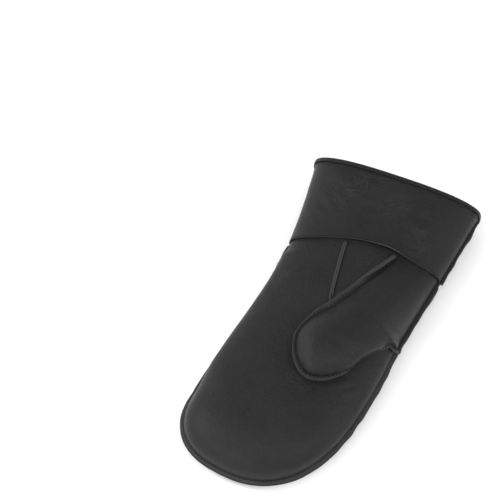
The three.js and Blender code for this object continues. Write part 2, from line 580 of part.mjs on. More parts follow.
// A strip folded over the edge of the mouth
function cuffBinding() {
  const wall = LEATHER + CUFF_PLAY + BOUND_WOOL;
  const lip = (width) => 1 - width / CUFF_DEPTH;
  const past = 1 + GAP / CUFF_DEPTH;
  const over = past + BINDING / CUFF_DEPTH;
  const profile = [
    { c: lip(BINDING_OUTSIDE), inset: -GAP - BINDING },
    { c: past, inset: -GAP - BINDING },
    { c: over, inset: wall * LIP_ROUND },
    { c: over, inset: wall * (1 - LIP_ROUND) },
    { c: past, inset: wall + GAP + BINDING },
    { c: lip(BINDING_INSIDE), inset: wall + GAP + BINDING },
  ];
  const inside = [
    { c: lip(BINDING_INSIDE), inset: wall + GAP },
    { c: past, inset: wall + GAP },
    { c: past, inset: -GAP },
    { c: lip(BINDING_OUTSIDE), inset: -GAP },
  ];
  const seam = (inset) => (inset < 0 ? SEAM_HALF : 0); // the band's ends stand apart under the outer lip
  const rings = [...profile, ...inside, profile[0]].map(({ c, inset }) => cuffRing(c, inset, seam(inset)));
  return surface(rings);
}

// Wool, made as the room inside the skins less the room inside the pile

const wasm = await Module();
wasm.setup();
const bodyOf = ({ position, index }) =>
  new wasm.Manifold(
    new wasm.Mesh({
      numProp: 3,
      vertProperties: new Float32Array(position),
      triVerts: new Uint32Array(index),
    }),
  );

function handRoom(inset, end) {
  const rows = handRows(inset, end, inset, WOOL_ROWS);
  const section = (v, onPalm) =>
    eased(WOOL_COLUMNS).map((t) => {
      const w = Math.min(v, HAND_END);
      const x = lerp(handLeft(w, inset), handRight(w, inset), t);
      const full = rise((v - inset) / (END_RISE - inset), END_FULLNESS) * arch(t, HAND_FULLNESS);
      const edge = edgeHeight(w);
      const floor = backFloor(w, x, 2 * BACK_VALLEY) + inset;
      const hung = Math.max(0, 1 - REST_PRESS * full) * (edge - lapLift(w)) + lapLift(w) + inset * full;
      const z = onPalm ? lerp(edge, palmTop(w) - inset, full) : Math.min(edge, Math.max(floor, hung));
      const bowed = onPalm ? bow(w) * Math.sin(Math.PI * t) ** 2 : 0;
      return new THREE.Vector3(x, along(w, x, false) + bowed + v - w, z);
    });
  return pillow(rows, (v) => section(v, true), (v) => section(v, false));
}
// The thumb's room opens into the hand's a little above the crotch, and the hollow's by `deeper` more
function thumbRoom(inset, end, deeper) {
  const web = THUMB_ROOT + deeper;
  const rows = [...thumbRows(THUMB_END + inset, end), web + 0.5, web + NOTCH_RUN].sort((a, b) => a - b);
  const section = (v, upper) =>
    eased(THUMB_COLUMNS - 2).map((t) => {
      const x = thumbAcross(thumbSides(v, inset), t);
      const [lift, normal] = [thumbLift(v, t), palmNormal(v, x)];
      const heel = smooth((v - THUMB_ROOT) / NOTCH_RUN + 1);
      const p = palmPoint(v, x).addScaledVector(normal, lift - inset * heel);
      const round = thumbEnd(v, inset);
      if (upper) {
        p.z += (thumbCrown(v) - inset * (1 - heel)) * arch(t, THUMB_FULLNESS) * round;
        return p;
      }
      p.addScaledVector(normal, -(lift - GAP - inset) * arch(t, THUMB_BACK_FULLNESS) * round);
      p.z = lerp(p.z, edgeHeight(v), smooth((v - web) / NOTCH_RUN));
      return p;
    });
  return pillow(rows, (v) => section(v, true), (v) => section(v, false));
}

// The wool is cut back wherever a seam of the skins would press into it
function handWool(skins) {
  const base = LEATHER + WOOL_PLAY;
  const room = bodyOf(handRoom(base, HAND_END)).add(bodyOf(thumbRoom(base, HAND_END, 0)));
  const hollow = bodyOf(handRoom(base + WOOL, HAND_END + LAP));
  const thumbHollow = bodyOf(thumbRoom(base + THUMB_WOOL, HAND_LENGTH - LAP, THUMB_WOOL));
  let made = room.subtract(hollow).subtract(thumbHollow);
  for (const skin of skins) made = made.subtract(bodyOf(thicken(skin, LEATHER + GAP)));
  const [largest] = made.decompose().sort((a, b) => b.volume() - a.volume());
  const { vertProperties, triVerts } = largest.getMesh();
  return { position: Array.from(vertProperties), index: Array.from(triVerts) };
}

// Finishes
const nappa = { color: 0x242425, roughness: 0.48, metalness: 0 };
const edgeLeather = { color: 0x2b2b2c, roughness: 0.55, metalness: 0 };
const shearling = { color: 0x5a4f4c, roughness: 1, metalness: 0 };

function mesh(name, { position, index }, finish) {
  const geometry = new THREE.BufferGeometry();
  geometry.setAttribute("position", new THREE.Float32BufferAttribute(position, 3));
  geometry.setIndex(index);
  const flat = geometry.toNonIndexed();
  flat.computeVertexNormals();
  const made = new THREE.Mesh(flat, new THREE.MeshStandardMaterial(finish));
  made.name = name;
  return made;
}

const skins = {
  palm_panel: palmPanel(),
  gusset_panel: gussetPanel(),
  thumb_front_panel: thumbPanel(THUMB_END, HAND_END, 1),
  thumb_back_panel: thumbPanel(THUMB_END, THUMB_ROOT - NOTCH_RUN, -1),
  back_panel_little_finger_side: backPanel(handLeft, -1),
  back_panel_thumb_side: backPanel(handRight, 1),
};
const mitten = new THREE.Group();
for (const [name, skin] of Object.entries(skins)) mitten.add(mesh(name, thicken(skin, LEATHER), nappa));
mitten.add(
  mesh("cuff", thicken(cuffBand(), LEATHER), nappa),
  mesh("cuff_binding", cuffBinding(), edgeLeather),
  mesh("hand_wool", handWool(Object.values(skins)), shearling),
  mesh("cuff_wool", cuffWool(), shearling),
);
// The origin is on the surface, under the middle of the mitten
const box = new THREE.Box3().setFromObject(mitten);
const middle = box.getCenter(new THREE.Vector3());
mitten.position.set(-middle.x, -middle.y, -box.min.z);

export default mitten;
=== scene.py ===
# Dresses the CAD frame of a sheepskin mitten for the left hand: black nappa leather sewn with its
# edges turned out, a bound cuff and sheared wool inside. It lies on its back with the palm up.
# Shapes are worked out in millimetres, with y = 0 at the fingertips' seam, as the solids are, and
# every mesh is written in metres in the frame.
import functools
import math
import random

import bmesh
import bpy
import numpy as np
from mathutils import Matrix, Vector, noise
from mathutils.kdtree import KDTree


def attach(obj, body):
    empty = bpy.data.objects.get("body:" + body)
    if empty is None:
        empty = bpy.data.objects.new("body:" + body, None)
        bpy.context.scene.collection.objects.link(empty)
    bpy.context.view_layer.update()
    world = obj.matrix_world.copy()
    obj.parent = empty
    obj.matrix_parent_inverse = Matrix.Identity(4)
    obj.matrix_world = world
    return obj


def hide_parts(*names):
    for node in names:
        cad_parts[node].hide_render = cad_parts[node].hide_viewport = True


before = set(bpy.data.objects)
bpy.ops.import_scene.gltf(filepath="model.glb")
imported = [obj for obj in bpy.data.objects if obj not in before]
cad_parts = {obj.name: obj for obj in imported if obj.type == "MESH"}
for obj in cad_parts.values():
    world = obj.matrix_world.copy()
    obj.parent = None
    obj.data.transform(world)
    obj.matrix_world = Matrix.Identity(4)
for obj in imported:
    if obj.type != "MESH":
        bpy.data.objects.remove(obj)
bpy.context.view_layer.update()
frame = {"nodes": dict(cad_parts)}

MM = 0.001
SHIFT = Vector((0.72149, -145.86652, 0.0))  # from the fingertips' seam to the frame's origin

# Walls
LEATHER = 1.3
GAP = 0.3
BOUND_WOOL = 2  # the pile that the binding folds over
SEAM_HALF = GAP / 2 + LEATHER

# Sewn edges, which stand out of the hand in its plane, and standing seams
SEAM_EDGE = 3
EDGE_SHOWN = 2.7  # what is left of the hand's edge after trimming
EDGE_CLEAR = 0.5  # it ends this far before the cuff's seam
EDGE_FADE = 3.5  # and narrows over this length
EDGE_UNEVEN = 0.16  # its width changes by this share
EDGE_UNEVEN_RUN = 11
EDGE_WAVE = 0.45  # it waves up and down by this much
EDGE_WAVE_RUN = 15
EDGE_EVEN_TIP = 30  # over the fingertips it runs more evenly
EDGE_DROOP = 0.38  # it falls by this share of its width
LEFT_EDGE_SEED = 3
RIGHT_EDGE_SEED = 8
WAVE_SEED = 20
THUMB_EDGE = 2.5
EDGE_GROWS = 20  # length over which the thumb's edge turns into the seams of the hand
RIDGE = 3
GUSSET_RIDGE = 1.5
THUMB_RIDGE = 3.4
SEAM_CLOSES = 2.5  # the skins close up over a standing seam from here before the cuff's seam
SEAM_CLOSE_RUN = 3

# Hand
HAND_LENGTH = 212.5
HAND_WIDTH = 120
HAND_THICKNESS = 40
EDGE_HEIGHT = 15
LEFT_ROUND = 43
RIGHT_ROUND = 100
END_RISE = 42
TIP_ACROSS = -10
BACK_RIDGE = 2.2
REST_CLEAR = 0.1
BACK_VALLEY = 9
REST_PRESS = 1.14

# Thumb
THUMB_ROOT = 157
THUMB_LENGTH = 63.3
THUMB_END = THUMB_ROOT - THUMB_LENGTH
THUMB_WIDTH = 54
THUMB_TIP_WIDTH = 45
THUMB_ROUND = 30
THUMB_LEAN = 15.5
THUMB_RISE = 15.5
THUMB_LIFT = 8
THUMB_LIFT_RUN = 25
ROOT_LIFT = 3.3
CROTCH_LIFT = 1.8
CROTCH_LIFT_RUN = 8
CROTCH_NOTCH = 5
NOTCH_RUN = 1.5
NOTCH_POWER = 6
AXIS_SHARE = 0.6  # share of the thumb's length over which it leans out
OWN_SHARE = 0.4  # and over which it takes its own width
# How far a seam's edge lies over, as a share of a right angle
ROOT_LEAN = 0.66
TIP_LEAN = 0.92
LEAN_CLEAR = 12  # distance from the root, and from the cuff's seam, where that starts to change
LEAN_RUN = THUMB_LENGTH - 20
TUCK = 0.75  # how far the thumb's free edge turns under
TUCK_FROM_TIP = 9
TUCK_TIP_RUN = 14
TUCK_FROM_ROOT = 2
TUCK_ROOT_RUN = 10
THUMB_BULGE = 3.0  # how far the thumb's skin bulges over that edge
THUMB_BULGE_FROM = 0.55  # share of its width
THUMB_BULGE_WAY = Vector((0.95, -0.3, 0))
HEEL_RUN = 60

# The palm's bulge over its edge on the little finger's side
PALM_BULGE = 2.6
PALM_BULGE_SHARE = 0.3
PALM_BULGE_FROM = 45
PALM_BULGE_RUN = 30
PALM_BULGE_END = 8
PALM_BULGE_END_RUN = 12

# Cuff
CUFF_DEPTH = 68.8
CUFF_WIDTH = 143.4
CUFF_THICKNESS = 48
CUFF_EDGE_HEIGHT = 21
LAP = 8
LAP_PLAY = 0.6
WRIST_SLANT = 30
MOUTH_SLANT = 24.5
SEAM_BOW = 9
FLARE_POWER = 1.2
CUFF_EDGE_TRIM = 0.8  # share of EDGE_SHOWN that its side seam keeps
CUFF_EDGE_UNEVEN = 0.3
CUFF_EDGE_RUN = 0.16
CUFF_EDGE_SEED = 5
# The lift of its hem over the palm, and more of it over the thumb's seam
HEM_SHARE = 0.16  # share of the cuff's depth
HEM_LIFT = 0.8
HEM_SEAM_LIFT = 3.4
HEM_SEAM_AT = 24
HEM_SEAM_REACH = 13
BINDING = 1
BINDING_CLEAR = 1
BINDING_OUTSIDE = 1.7
BINDING_INSIDE = 6.5
BINDING_RUN = 7
HAND_END = HAND_LENGTH + LAP

# Section shapes, as exponents of superellipses
HAND_FULLNESS = 2.6
THUMB_FULLNESS = 2.2
THUMB_LEFT_FULLNESS = 1.7
THUMB_BACK_FULLNESS = 4
END_FULLNESS = 2.4
THUMB_END_FULLNESS = 1.8
GROOVE = 0.035

# Shares of HAND_LENGTH from the fingertips, and of HAND_WIDTH across
HAND_SIDES = {
    "at": (0.0, 0.34, 0.48, 0.62, 0.745, 0.88, 1.0, 1.1),
    "left": (-0.46, -0.458, -0.449, -0.437, -0.43, -0.437, -0.447, -0.45),
    "right": (0.565, 0.566, 0.568, 0.565, 0.546, 0.551, 0.552, 0.552),
}
# Shares of HAND_LENGTH along, of HAND_THICKNESS for the palm and of EDGE_HEIGHT for the side seam
HAND_HEIGHTS = {
    "at": (0.0, 0.25, 0.45, 0.65, 0.85, 1.0, 1.1),
    "palm": (0.93, 0.96, 0.95, 0.94, 1.0, 1.02, 1.02),
    "edge": (0.85, 1.0, 1.0, 1.0, 1.06, 1.2, 1.22),
}
# The two seams on the palm: shares of the length from the crotch to the cuff, and of HAND_WIDTH
PALM_SEAMS = {
    "at": (0.0, 0.15, 0.4, 0.7, 1.0, 1.2),
    "gusset": (0.046, 0.008, -0.031, -0.072, -0.104, -0.122),
    "thumb": (0.046, 0.074, 0.126, 0.19, 0.256, 0.298),
}
GUSSET_START = 0.09

# How finely the skins are divided
TIP_ROWS = 26
THUMB_TIP_ROWS = 20
STEP = 1.5
FINE_STEP = 1.2
NEAREST_ROW = 0.8
WRIST_ROW = HAND_LENGTH - 6
HALF_COLUMNS = 46
PALM_COLUMNS = HALF_COLUMNS + 2
HEEL_COLUMNS = HALF_COLUMNS - 4
GUSSET_COLUMNS = 14
THUMB_COLUMNS = 50
CUFF_COLUMNS = 110
BINDING_STEPS = (4, 8, 5)  # on the leather, round the edge and on the wool


def clamp(t):
    return min(1.0, max(0.0, t))


def lerp(a, b, t):
    return a + (b - a) * t


def smooth(t):
    t = clamp(t)
    return t * t * (3 - 2 * t)


def rise(t, n):
    """0 to 1 along a quarter of a superellipse, upright at 0 and level at 1."""
    return (1 - (1 - clamp(t)) ** n) ** (1 / n)


def arch(t, n):
    """0, 1, 0 over a whole arch, upright at both ends."""
    return max(0.0, 1 - abs(2 * clamp(t) - 1) ** n) ** (1 / n)


def hump(t):
    """0, 1, 0 on a parabola."""
    return 4 * t * (1 - t)


def quarter(t):
    """0 to 1 along a quarter of a circle, closer together at 0."""
    return 1 - math.cos((math.pi / 2) * t)


def steps(n):
    return [i / n for i in range(n + 1)]


def eased(n):
    return [(1 - math.cos(math.pi * t)) / 2 for t in steps(n)]


def spaced(start, end, step=STEP):
    """Places from start to end, about a step apart, without the first one."""
    count = max(1, round((end - start) / step))
    return [lerp(start, end, (i + 1) / count) for i in range(count)]


TABLES = {"sides": HAND_SIDES, "heights": HAND_HEIGHTS, "seams": PALM_SEAMS}


@functools.cache
def between(table, column, at):
    """The value of one column of a table at a place between its rows, on a smooth curve."""
    places = TABLES[table]["at"]
    values = TABLES[table][column]
    last = len(places) - 2
    row = last
    for i in range(last + 1):
        if places[i + 1] > at:
            row = i
            break

    def slope(k):
        a = max(0, k - 1)
        b = min(last + 1, k + 1)
        return (values[b] - values[a]) / (places[b] - places[a])

    span = places[row + 1] - places[row]
    t = clamp((at - places[row]) / span)
    t2 = t * t
    t3 = t2 * t
    return (
        values[row] * (2 * t3 - 3 * t2 + 1)
        + slope(row) * span * (t3 - 2 * t2 + t)
        + values[row + 1] * (3 * t2 - 2 * t3)
        + slope(row + 1) * span * (t3 - t2)
    )


# The plan of the hand. v is the distance from the fingertips along the hand.
def from_root(v):
    return (v - THUMB_ROOT) / (HAND_LENGTH - THUMB_ROOT)


def edge_share(v):
    """How much of a sewn edge stands out: none where the cuff laps over it."""
    return smooth((HAND_LENGTH - EDGE_CLEAR - v) / EDGE_FADE)


@functools.cache
def hand_left(v):
    side = between("sides", "left", v / HAND_LENGTH) * HAND_WIDTH
    return lerp(TIP_ACROSS, side, rise(v / LEFT_ROUND, END_FULLNESS))


@functools.cache
def hand_right(v):
    side = between("sides", "right", v / HAND_LENGTH) * HAND_WIDTH
    return lerp(TIP_ACROSS, side, rise(v / RIGHT_ROUND, END_FULLNESS))


def hand_across(v, x):
    return clamp((x - hand_left(v)) / ((hand_right(v) - hand_left(v)) or 1))


def along(v, x, on_palm):
    """The place along the mitten of a point of row v, which slants and bows at the wrist."""
    t = hand_across(v, x)
    wrist = smooth(from_root(v))
    bowed = SEAM_BOW * wrist * math.sin(math.pi * t) ** 2 if on_palm else 0
    return v + WRIST_SLANT * wrist * (t - 0.5) + bowed


def edge_height(v):
    return between("heights", "edge", v / HAND_LENGTH) * EDGE_HEIGHT


def palm_top(v):
    return between("heights", "palm", v / HAND_LENGTH) * HAND_THICKNESS


def lap_lift(v):
    return (LEATHER + GAP + LAP_PLAY) * smooth((v - HAND_LENGTH + 3 * LAP) / (2 * LAP))


def fullness(v, x):
    return rise(v / END_RISE, END_FULLNESS) * arch(hand_across(v, x), HAND_FULLNESS)


def palm_point(v, x):
    z = lerp(edge_height(v) + SEAM_HALF, palm_top(v), fullness(v, x))
    return Vector((x, along(v, x, True), z))


def palm_normal(v, x):
    step = 0.2
    at = min(hand_right(v) - 2 * step, max(hand_left(v) + 2 * step, x))
    across = palm_point(v, at + step) - palm_point(v, at - step)
    lengthways = palm_point(v + step, at) - palm_point(v - step, at)
    return across.cross(lengthways).normalized()


def back_seam(v):
    return lerp(TIP_ACROSS, (hand_left(v) + hand_right(v)) / 2, smooth(v / RIGHT_ROUND))


def back_height(v, x):
    base = edge_height(v) - SEAM_HALF
    valley = 1 - min(1, abs(x - back_seam(v)) / BACK_VALLEY) ** 2
    floor = lap_lift(v) + BACK_RIDGE * edge_share(v) * valley * valley
    hung = max(0, 1 - REST_PRESS * fullness(v, x)) * (base - lap_lift(v)) + lap_lift(v)
    return min(base, max(hung, floor))


# The thumb. Its plan takes over from the palm's seams below the root.
@functools.cache
def thumb_seam_on_palm(v):
    return between("seams", "thumb", from_root(v)) * HAND_WIDTH


@functools.cache
def gusset_seam(v):
    return between("seams", "gusset", from_root(v)) * HAND_WIDTH


@functools.cache
def thumb_sides(v):
    if v >= THUMB_ROOT:
        return (thumb_seam_on_palm(v), hand_right(v), 0)
    d = (THUMB_ROOT - v) / THUMB_LENGTH
    root_left = thumb_seam_on_palm(THUMB_ROOT)
    root_right = hand_right(THUMB_ROOT)
    lean = THUMB_LEAN * math.sin((math.pi / 2) * min(1, d / AXIS_SHARE))
    axis = (root_left + root_right) / 2 - lean
    own = lerp(THUMB_WIDTH, THUMB_TIP_WIDTH, d) / 2
    grown = smooth(d / OWN_SHARE)
    half = lerp((root_right - root_left) / 2, own, grown)
    end = rise((v - THUMB_END) / THUMB_ROUND, THUMB_END_FULLNESS)
    notch = CROTCH_NOTCH * smooth((THUMB_ROOT - v) / NOTCH_RUN) * (1 - grown)
    return (axis - half * end, axis + half * end - notch, notch)


def thumb_across(v, t):
    left, right, notch = thumb_sides(v)
    return lerp(left, right + notch, t) - notch * t**NOTCH_POWER


def thumb_lift(v, t):
    """Height of the thumb's own seam above the palm."""
    free = smooth((THUMB_ROOT - v) / THUMB_LIFT_RUN)
    heel = smooth((THUMB_ROOT + THUMB_LIFT_RUN - v) / THUMB_LIFT_RUN)
    crotch = smooth((THUMB_ROOT + CROTCH_LIFT_RUN - v) / CROTCH_LIFT_RUN)
    left = lerp(ROOT_LIFT * heel, THUMB_LIFT, free)
    right = lerp(CROTCH_LIFT * crotch, THUMB_LIFT, free)
    return lerp(left, right, t)


def seam_frame(v, seam, lift, lean, outward=-1):
    """A seam's foot, the way its edge stands out, and the way from its middle to the skin on top."""
    step = 0.05
    normal = palm_normal(v, seam(v))
    foot = palm_point(v, seam(v)) + normal * lift
    run = palm_point(v + step, seam(v + step)) - palm_point(v - step, seam(v - step))
    at_tip = v < THUMB_END + step
    out = Vector((0, -1, 0)) if at_tip else normal.cross(run)
    out = (out - normal * out.dot(normal)).normalized()
    if not at_tip:
        out = out * -outward
    turn = (math.pi / 2) * lean
    edge = out * math.sin(turn) + normal * math.cos(turn)
    across = out * -math.cos(turn) + normal * math.sin(turn)
    return foot, edge, across


@functools.cache
def thumb_seam(v):
    if v < THUMB_ROOT:
        lean = lerp(ROOT_LEAN, TIP_LEAN, smooth((THUMB_ROOT - LEAN_CLEAR - v) / LEAN_RUN))
    else:
        lean = ROOT_LEAN * smooth((HAND_LENGTH - LEAN_CLEAR - v) / THUMB_LIFT_RUN)
    return seam_frame(v, lambda w: thumb_sides(w)[0], thumb_lift(v, 0), lean)


@functools.cache
def gusset_frame(v):
    return seam_frame(v, gusset_seam, 0, 0)


def tucked(v):
    """How much of the thumb's edge is turned under: none at its tip and at the crotch."""
    from_tip = smooth((v - THUMB_END - TUCK_FROM_TIP) / TUCK_TIP_RUN)
    return from_tip * smooth((THUMB_ROOT - TUCK_FROM_ROOT - v) / TUCK_ROOT_RUN)


@functools.cache
def thumb_right_seam(v):
    """The right side of the thumb's skins: its own seam below the root, the side seam above."""
    if v < THUMB_ROOT:
        lean = 1 + TUCK * tucked(v)
        return seam_frame(v, lambda w: thumb_sides(w)[1], thumb_lift(v, 1), lean, 1)
    side = hand_right(v)
    foot = palm_point(v, side) + palm_normal(v, side) * thumb_lift(v, 1)
    plan = sideways(hand_right, v)
    return foot, Vector((plan[0], plan[1], 0)), Vector((0, 0, 0))


# The cuff. c runs from 0 at its lower edge to 1 at the mouth.
def cuff_edge_share(c):
    return smooth(((1 - c) * CUFF_DEPTH - BINDING_OUTSIDE - BINDING_CLEAR) / SEAM_EDGE)


@functools.cache
def cuff_section(c):
    fit = LEATHER + GAP + LAP_PLAY
    flare = c**FLARE_POWER if c > 0 else 0
    return (
        lerp(hand_left(HAND_LENGTH) - fit, -CUFF_WIDTH / 2, flare),
        lerp(hand_right(HAND_LENGTH) + fit, CUFF_WIDTH / 2 - SEAM_EDGE, flare),
        lerp(palm_top(HAND_LENGTH) + fit, CUFF_THICKNESS, smooth(c)),
        lerp(edge_height(HAND_LENGTH), CUFF_EDGE_HEIGHT, c),
        lerp(WRIST_SLANT, MOUTH_SLANT, c),
        SEAM_BOW * (1 - smooth(c)),
    )


def cuff_point(c, turn, inset=0, seam=0):
    """turn is 0 at the side seam, 1 at the other side over the palm, 2 back under the hand."""
    left, right, top, side, slant, bow = cuff_section(c)
    on_palm = turn <= 1
    t = 1 - (turn if on_palm else 2 - turn)
    x = lerp(left + inset, right - inset, t)
    full = arch(t, HAND_FULLNESS)
    edge = side + (1 if on_palm else -1) * seam * t
    if on_palm:
        z = lerp(edge, top - inset, full)
        seam_lift = HEM_SEAM_LIFT * math.exp(-(((x - HEM_SEAM_AT) / HEM_SEAM_REACH) ** 2))
        z += max(0, 1 - c / HEM_SHARE) ** 2 * full * (HEM_LIFT + seam_lift)
    else:
        near = (c * CUFF_DEPTH - CUFF_DEPTH + BINDING_INSIDE + BINDING_RUN) / BINDING_RUN
        floor = (BINDING + GAP) * smooth(near)
        z = max(inset + floor, edge - (edge - inset) * REST_PRESS * full)
    reach = clamp((x - left) / (right - left))
    bowed = bow * math.sin(math.pi * t) ** 2 if on_palm else 0
    y = HAND_LENGTH + CUFF_DEPTH * c + slant * (reach - 0.5) + bowed
    return Vector((x, y, z))


def sideways(side, v):
    """Outward direction of the hand's side in plan."""
    if v == 0:
        return (0.0, -1.0)
    step = 0.01
    low = max(0, v - step)
    run_x = side(v + step) - side(low)
    run_y = along(v + step, side(v + step), False) - along(low, side(low), False)
    size = math.hypot(run_x, run_y)
    way = 1 if side(v + step) > TIP_ACROSS else -1
    return (way * run_y / size, -way * run_x / size)


NOISE_GAIN = 1.6


def uneven(place, size, seed):
    """A smooth uneven value, mostly from -1 to 1, along a seam."""
    return noise.noise(Vector((place / size, seed, 0.5))) * NOISE_GAIN


def sewn_edge(root, side, v):
    """The outer end of the hand's sewn edge, which starts at root."""
    out = sideways(side, v)
    seed = LEFT_EDGE_SEED if side is hand_left else RIGHT_EDGE_SEED
    loose = smooth(v / EDGE_EVEN_TIP)
    change = EDGE_UNEVEN * loose * uneven(v, EDGE_UNEVEN_RUN, seed)
    width = EDGE_SHOWN * edge_share(v) * (1 + change)
    lift = EDGE_WAVE * edge_share(v) * uneven(v, EDGE_WAVE_RUN, seed + WAVE_SEED) * loose
    lift -= EDGE_DROOP * width
    return Vector((root.x + out[0] * width, root.y + out[1] * width, root.z + lift))


# Grids of points, a row at a time. The last row of the hand lies under the cuff.
def hand_rows():
    tip = [END_RISE * quarter(t) for t in steps(TIP_ROWS)]
    return tip + spaced(END_RISE, WRIST_ROW) + spaced(WRIST_ROW, HAND_END)


def thumb_tip_rows():
    return [THUMB_END + THUMB_ROUND * quarter(t) for t in steps(THUMB_TIP_ROWS)]


GUSSET_TIP = lerp(THUMB_ROOT, HAND_LENGTH, GUSSET_START)


def back_grid(side, sign):
    """One half of the back, from its edge in the lengthwise seam out to its sewn edge."""
    grid = []
    for v in hand_rows():
        seam = back_seam(v) + sign * SEAM_HALF
        end = sign * max(sign * side(v), sign * TIP_ACROSS + SEAM_HALF)
        points = []
        for t in eased(HALF_COLUMNS):
            x = lerp(seam, end, t)
            points.append(Vector((x, along(v, x, False), back_height(v, x))))
        foot = points[0].copy()
        foot.z = max(lap_lift(v) + REST_CLEAR, foot.z - BACK_RIDGE * edge_share(v))
        outer = sewn_edge(points[-1], side, v)
        if v == 0:
            outer.x -= sign * (SEAM_HALF - GAP / 2)  # the two backs' sewn edges meet at the tip
        grid.append([foot] + points + [outer])
    return grid


def seam_half(v):
    """Half the way between the skins at a standing seam. They close up under the cuff."""
    return lerp(SEAM_HALF, GAP, smooth((v - HAND_LENGTH + SEAM_CLOSES) / SEAM_CLOSE_RUN))


# Around the gusset's tip, the palm's border steps over between these places, and its edge dips
BORDER_STEP = 2.5
BORDER_RUN = 4
RIDGE_STEP = 1
RIDGE_STEP_RUN = 2
RIDGE_DIP_RUN = 4


def palm_border(v):
    """Where the palm's skin ends at a seam, and the way its edge stands. It steps over from the
    thumb's seam to the gusset's under the point where the gusset starts."""
    low_foot, low_edge, low_across = thumb_seam(max(v, THUMB_ROOT))
    high_foot, high_edge, high_across = gusset_frame(v)
    t = smooth((v - GUSSET_TIP + BORDER_STEP) / BORDER_RUN)
    half = seam_half(v)
    foot = (low_foot - low_across * half).lerp(high_foot - high_across * half, t)
    return foot, low_edge.lerp(high_edge, t).normalized()


def palm_grids():
    """The palm in two grids that share a row: the lower one spans the hand."""
    root = THUMB_ROOT - NOTCH_RUN + GAP / 2
    columns = eased(2 * HALF_COLUMNS)[:PALM_COLUMNS]
    thumb_left = thumb_seam_on_palm(THUMB_ROOT) - SEAM_HALF
    root_across = hand_across(root, thumb_left)

    def row_of(v, whole):
        foot, edge = palm_border(v)
        middle = lerp(hand_left(v), hand_right(v), root_across) if whole else foot.x
        low = [lerp(hand_left(v), middle, t / columns[-1]) for t in columns]
        high = [
            lerp(middle, hand_right(v), math.sin((math.pi / 2) * t))
            for t in steps(HEEL_COLUMNS)[1:]
        ]
        points = [palm_point(v, x) for x in (low + high if whole else low)]
        left = sewn_edge(points[0], hand_left, v)
        swell = PALM_BULGE * smooth((v - PALM_BULGE_FROM) / PALM_BULGE_RUN)
        swell *= smooth((HAND_LENGTH - PALM_BULGE_END - v) / PALM_BULGE_END_RUN)
        for p in points:
            if hand_across(v, p.x) < PALM_BULGE_SHARE:
                p.x -= swell * hump(fullness(v, p.x))
        if whole:
            return [left] + points + [sewn_edge(points[-1], hand_right, v)]
        points[-1] = foot
        past_tip = smooth((v - GUSSET_TIP + RIDGE_STEP) / RIDGE_STEP_RUN)
        dip = smooth((abs(v - GUSSET_TIP) + RIDGE_STEP) / RIDGE_DIP_RUN)
        height = lerp(THUMB_RIDGE, GUSSET_RIDGE, past_tip) * edge_share(v) * dip
        return [left] + points + [foot + edge * height]

    lower = [row_of(v, True) for v in hand_rows() if v < root - NEAREST_ROW]
    lower.append(row_of(root, True))
    shared = lower[-1][: len(columns) + 1]
    upper = [shared + [shared[-1]]]
    upper += [row_of(v, False) for v in spaced(root, HAND_END, FINE_STEP)]
    return [lower, upper]


BLEND_SHARES = 4  # one in this many of its columns, at each side, blends into the palm's form
GUSSET_RIDGE_RUN = 4


def gusset_grid():
    tip = GUSSET_TIP + SEAM_HALF + GAP
    grid = []
    for v in [tip] + spaced(tip, HAND_END, FINE_STEP):
        near_foot, near_edge, near_across = gusset_frame(v)
        far_foot, far_edge, far_across = thumb_seam(v)
        left = near_foot + near_across * seam_half(v)
        right = far_foot - far_across * seam_half(v)
        middle = []
        for t in eased(GUSSET_COLUMNS)[1:-1]:
            line = left.lerp(right, t)
            skin = palm_point(v, line.x)
            blend = smooth(BLEND_SHARES * t) * smooth(BLEND_SHARES * (1 - t))
            middle.append(line.lerp(skin, blend))
        low = GUSSET_RIDGE * edge_share(v) * smooth((v - tip) / GUSSET_RIDGE_RUN)
        row = [left + near_edge * low, left] + middle
        row += [right, right + far_edge * THUMB_RIDGE * edge_share(v)]
        grid.append(row[::-1])
    return grid


SAME_PLACE = 0.01
SHAPE_BLEND = 1.6


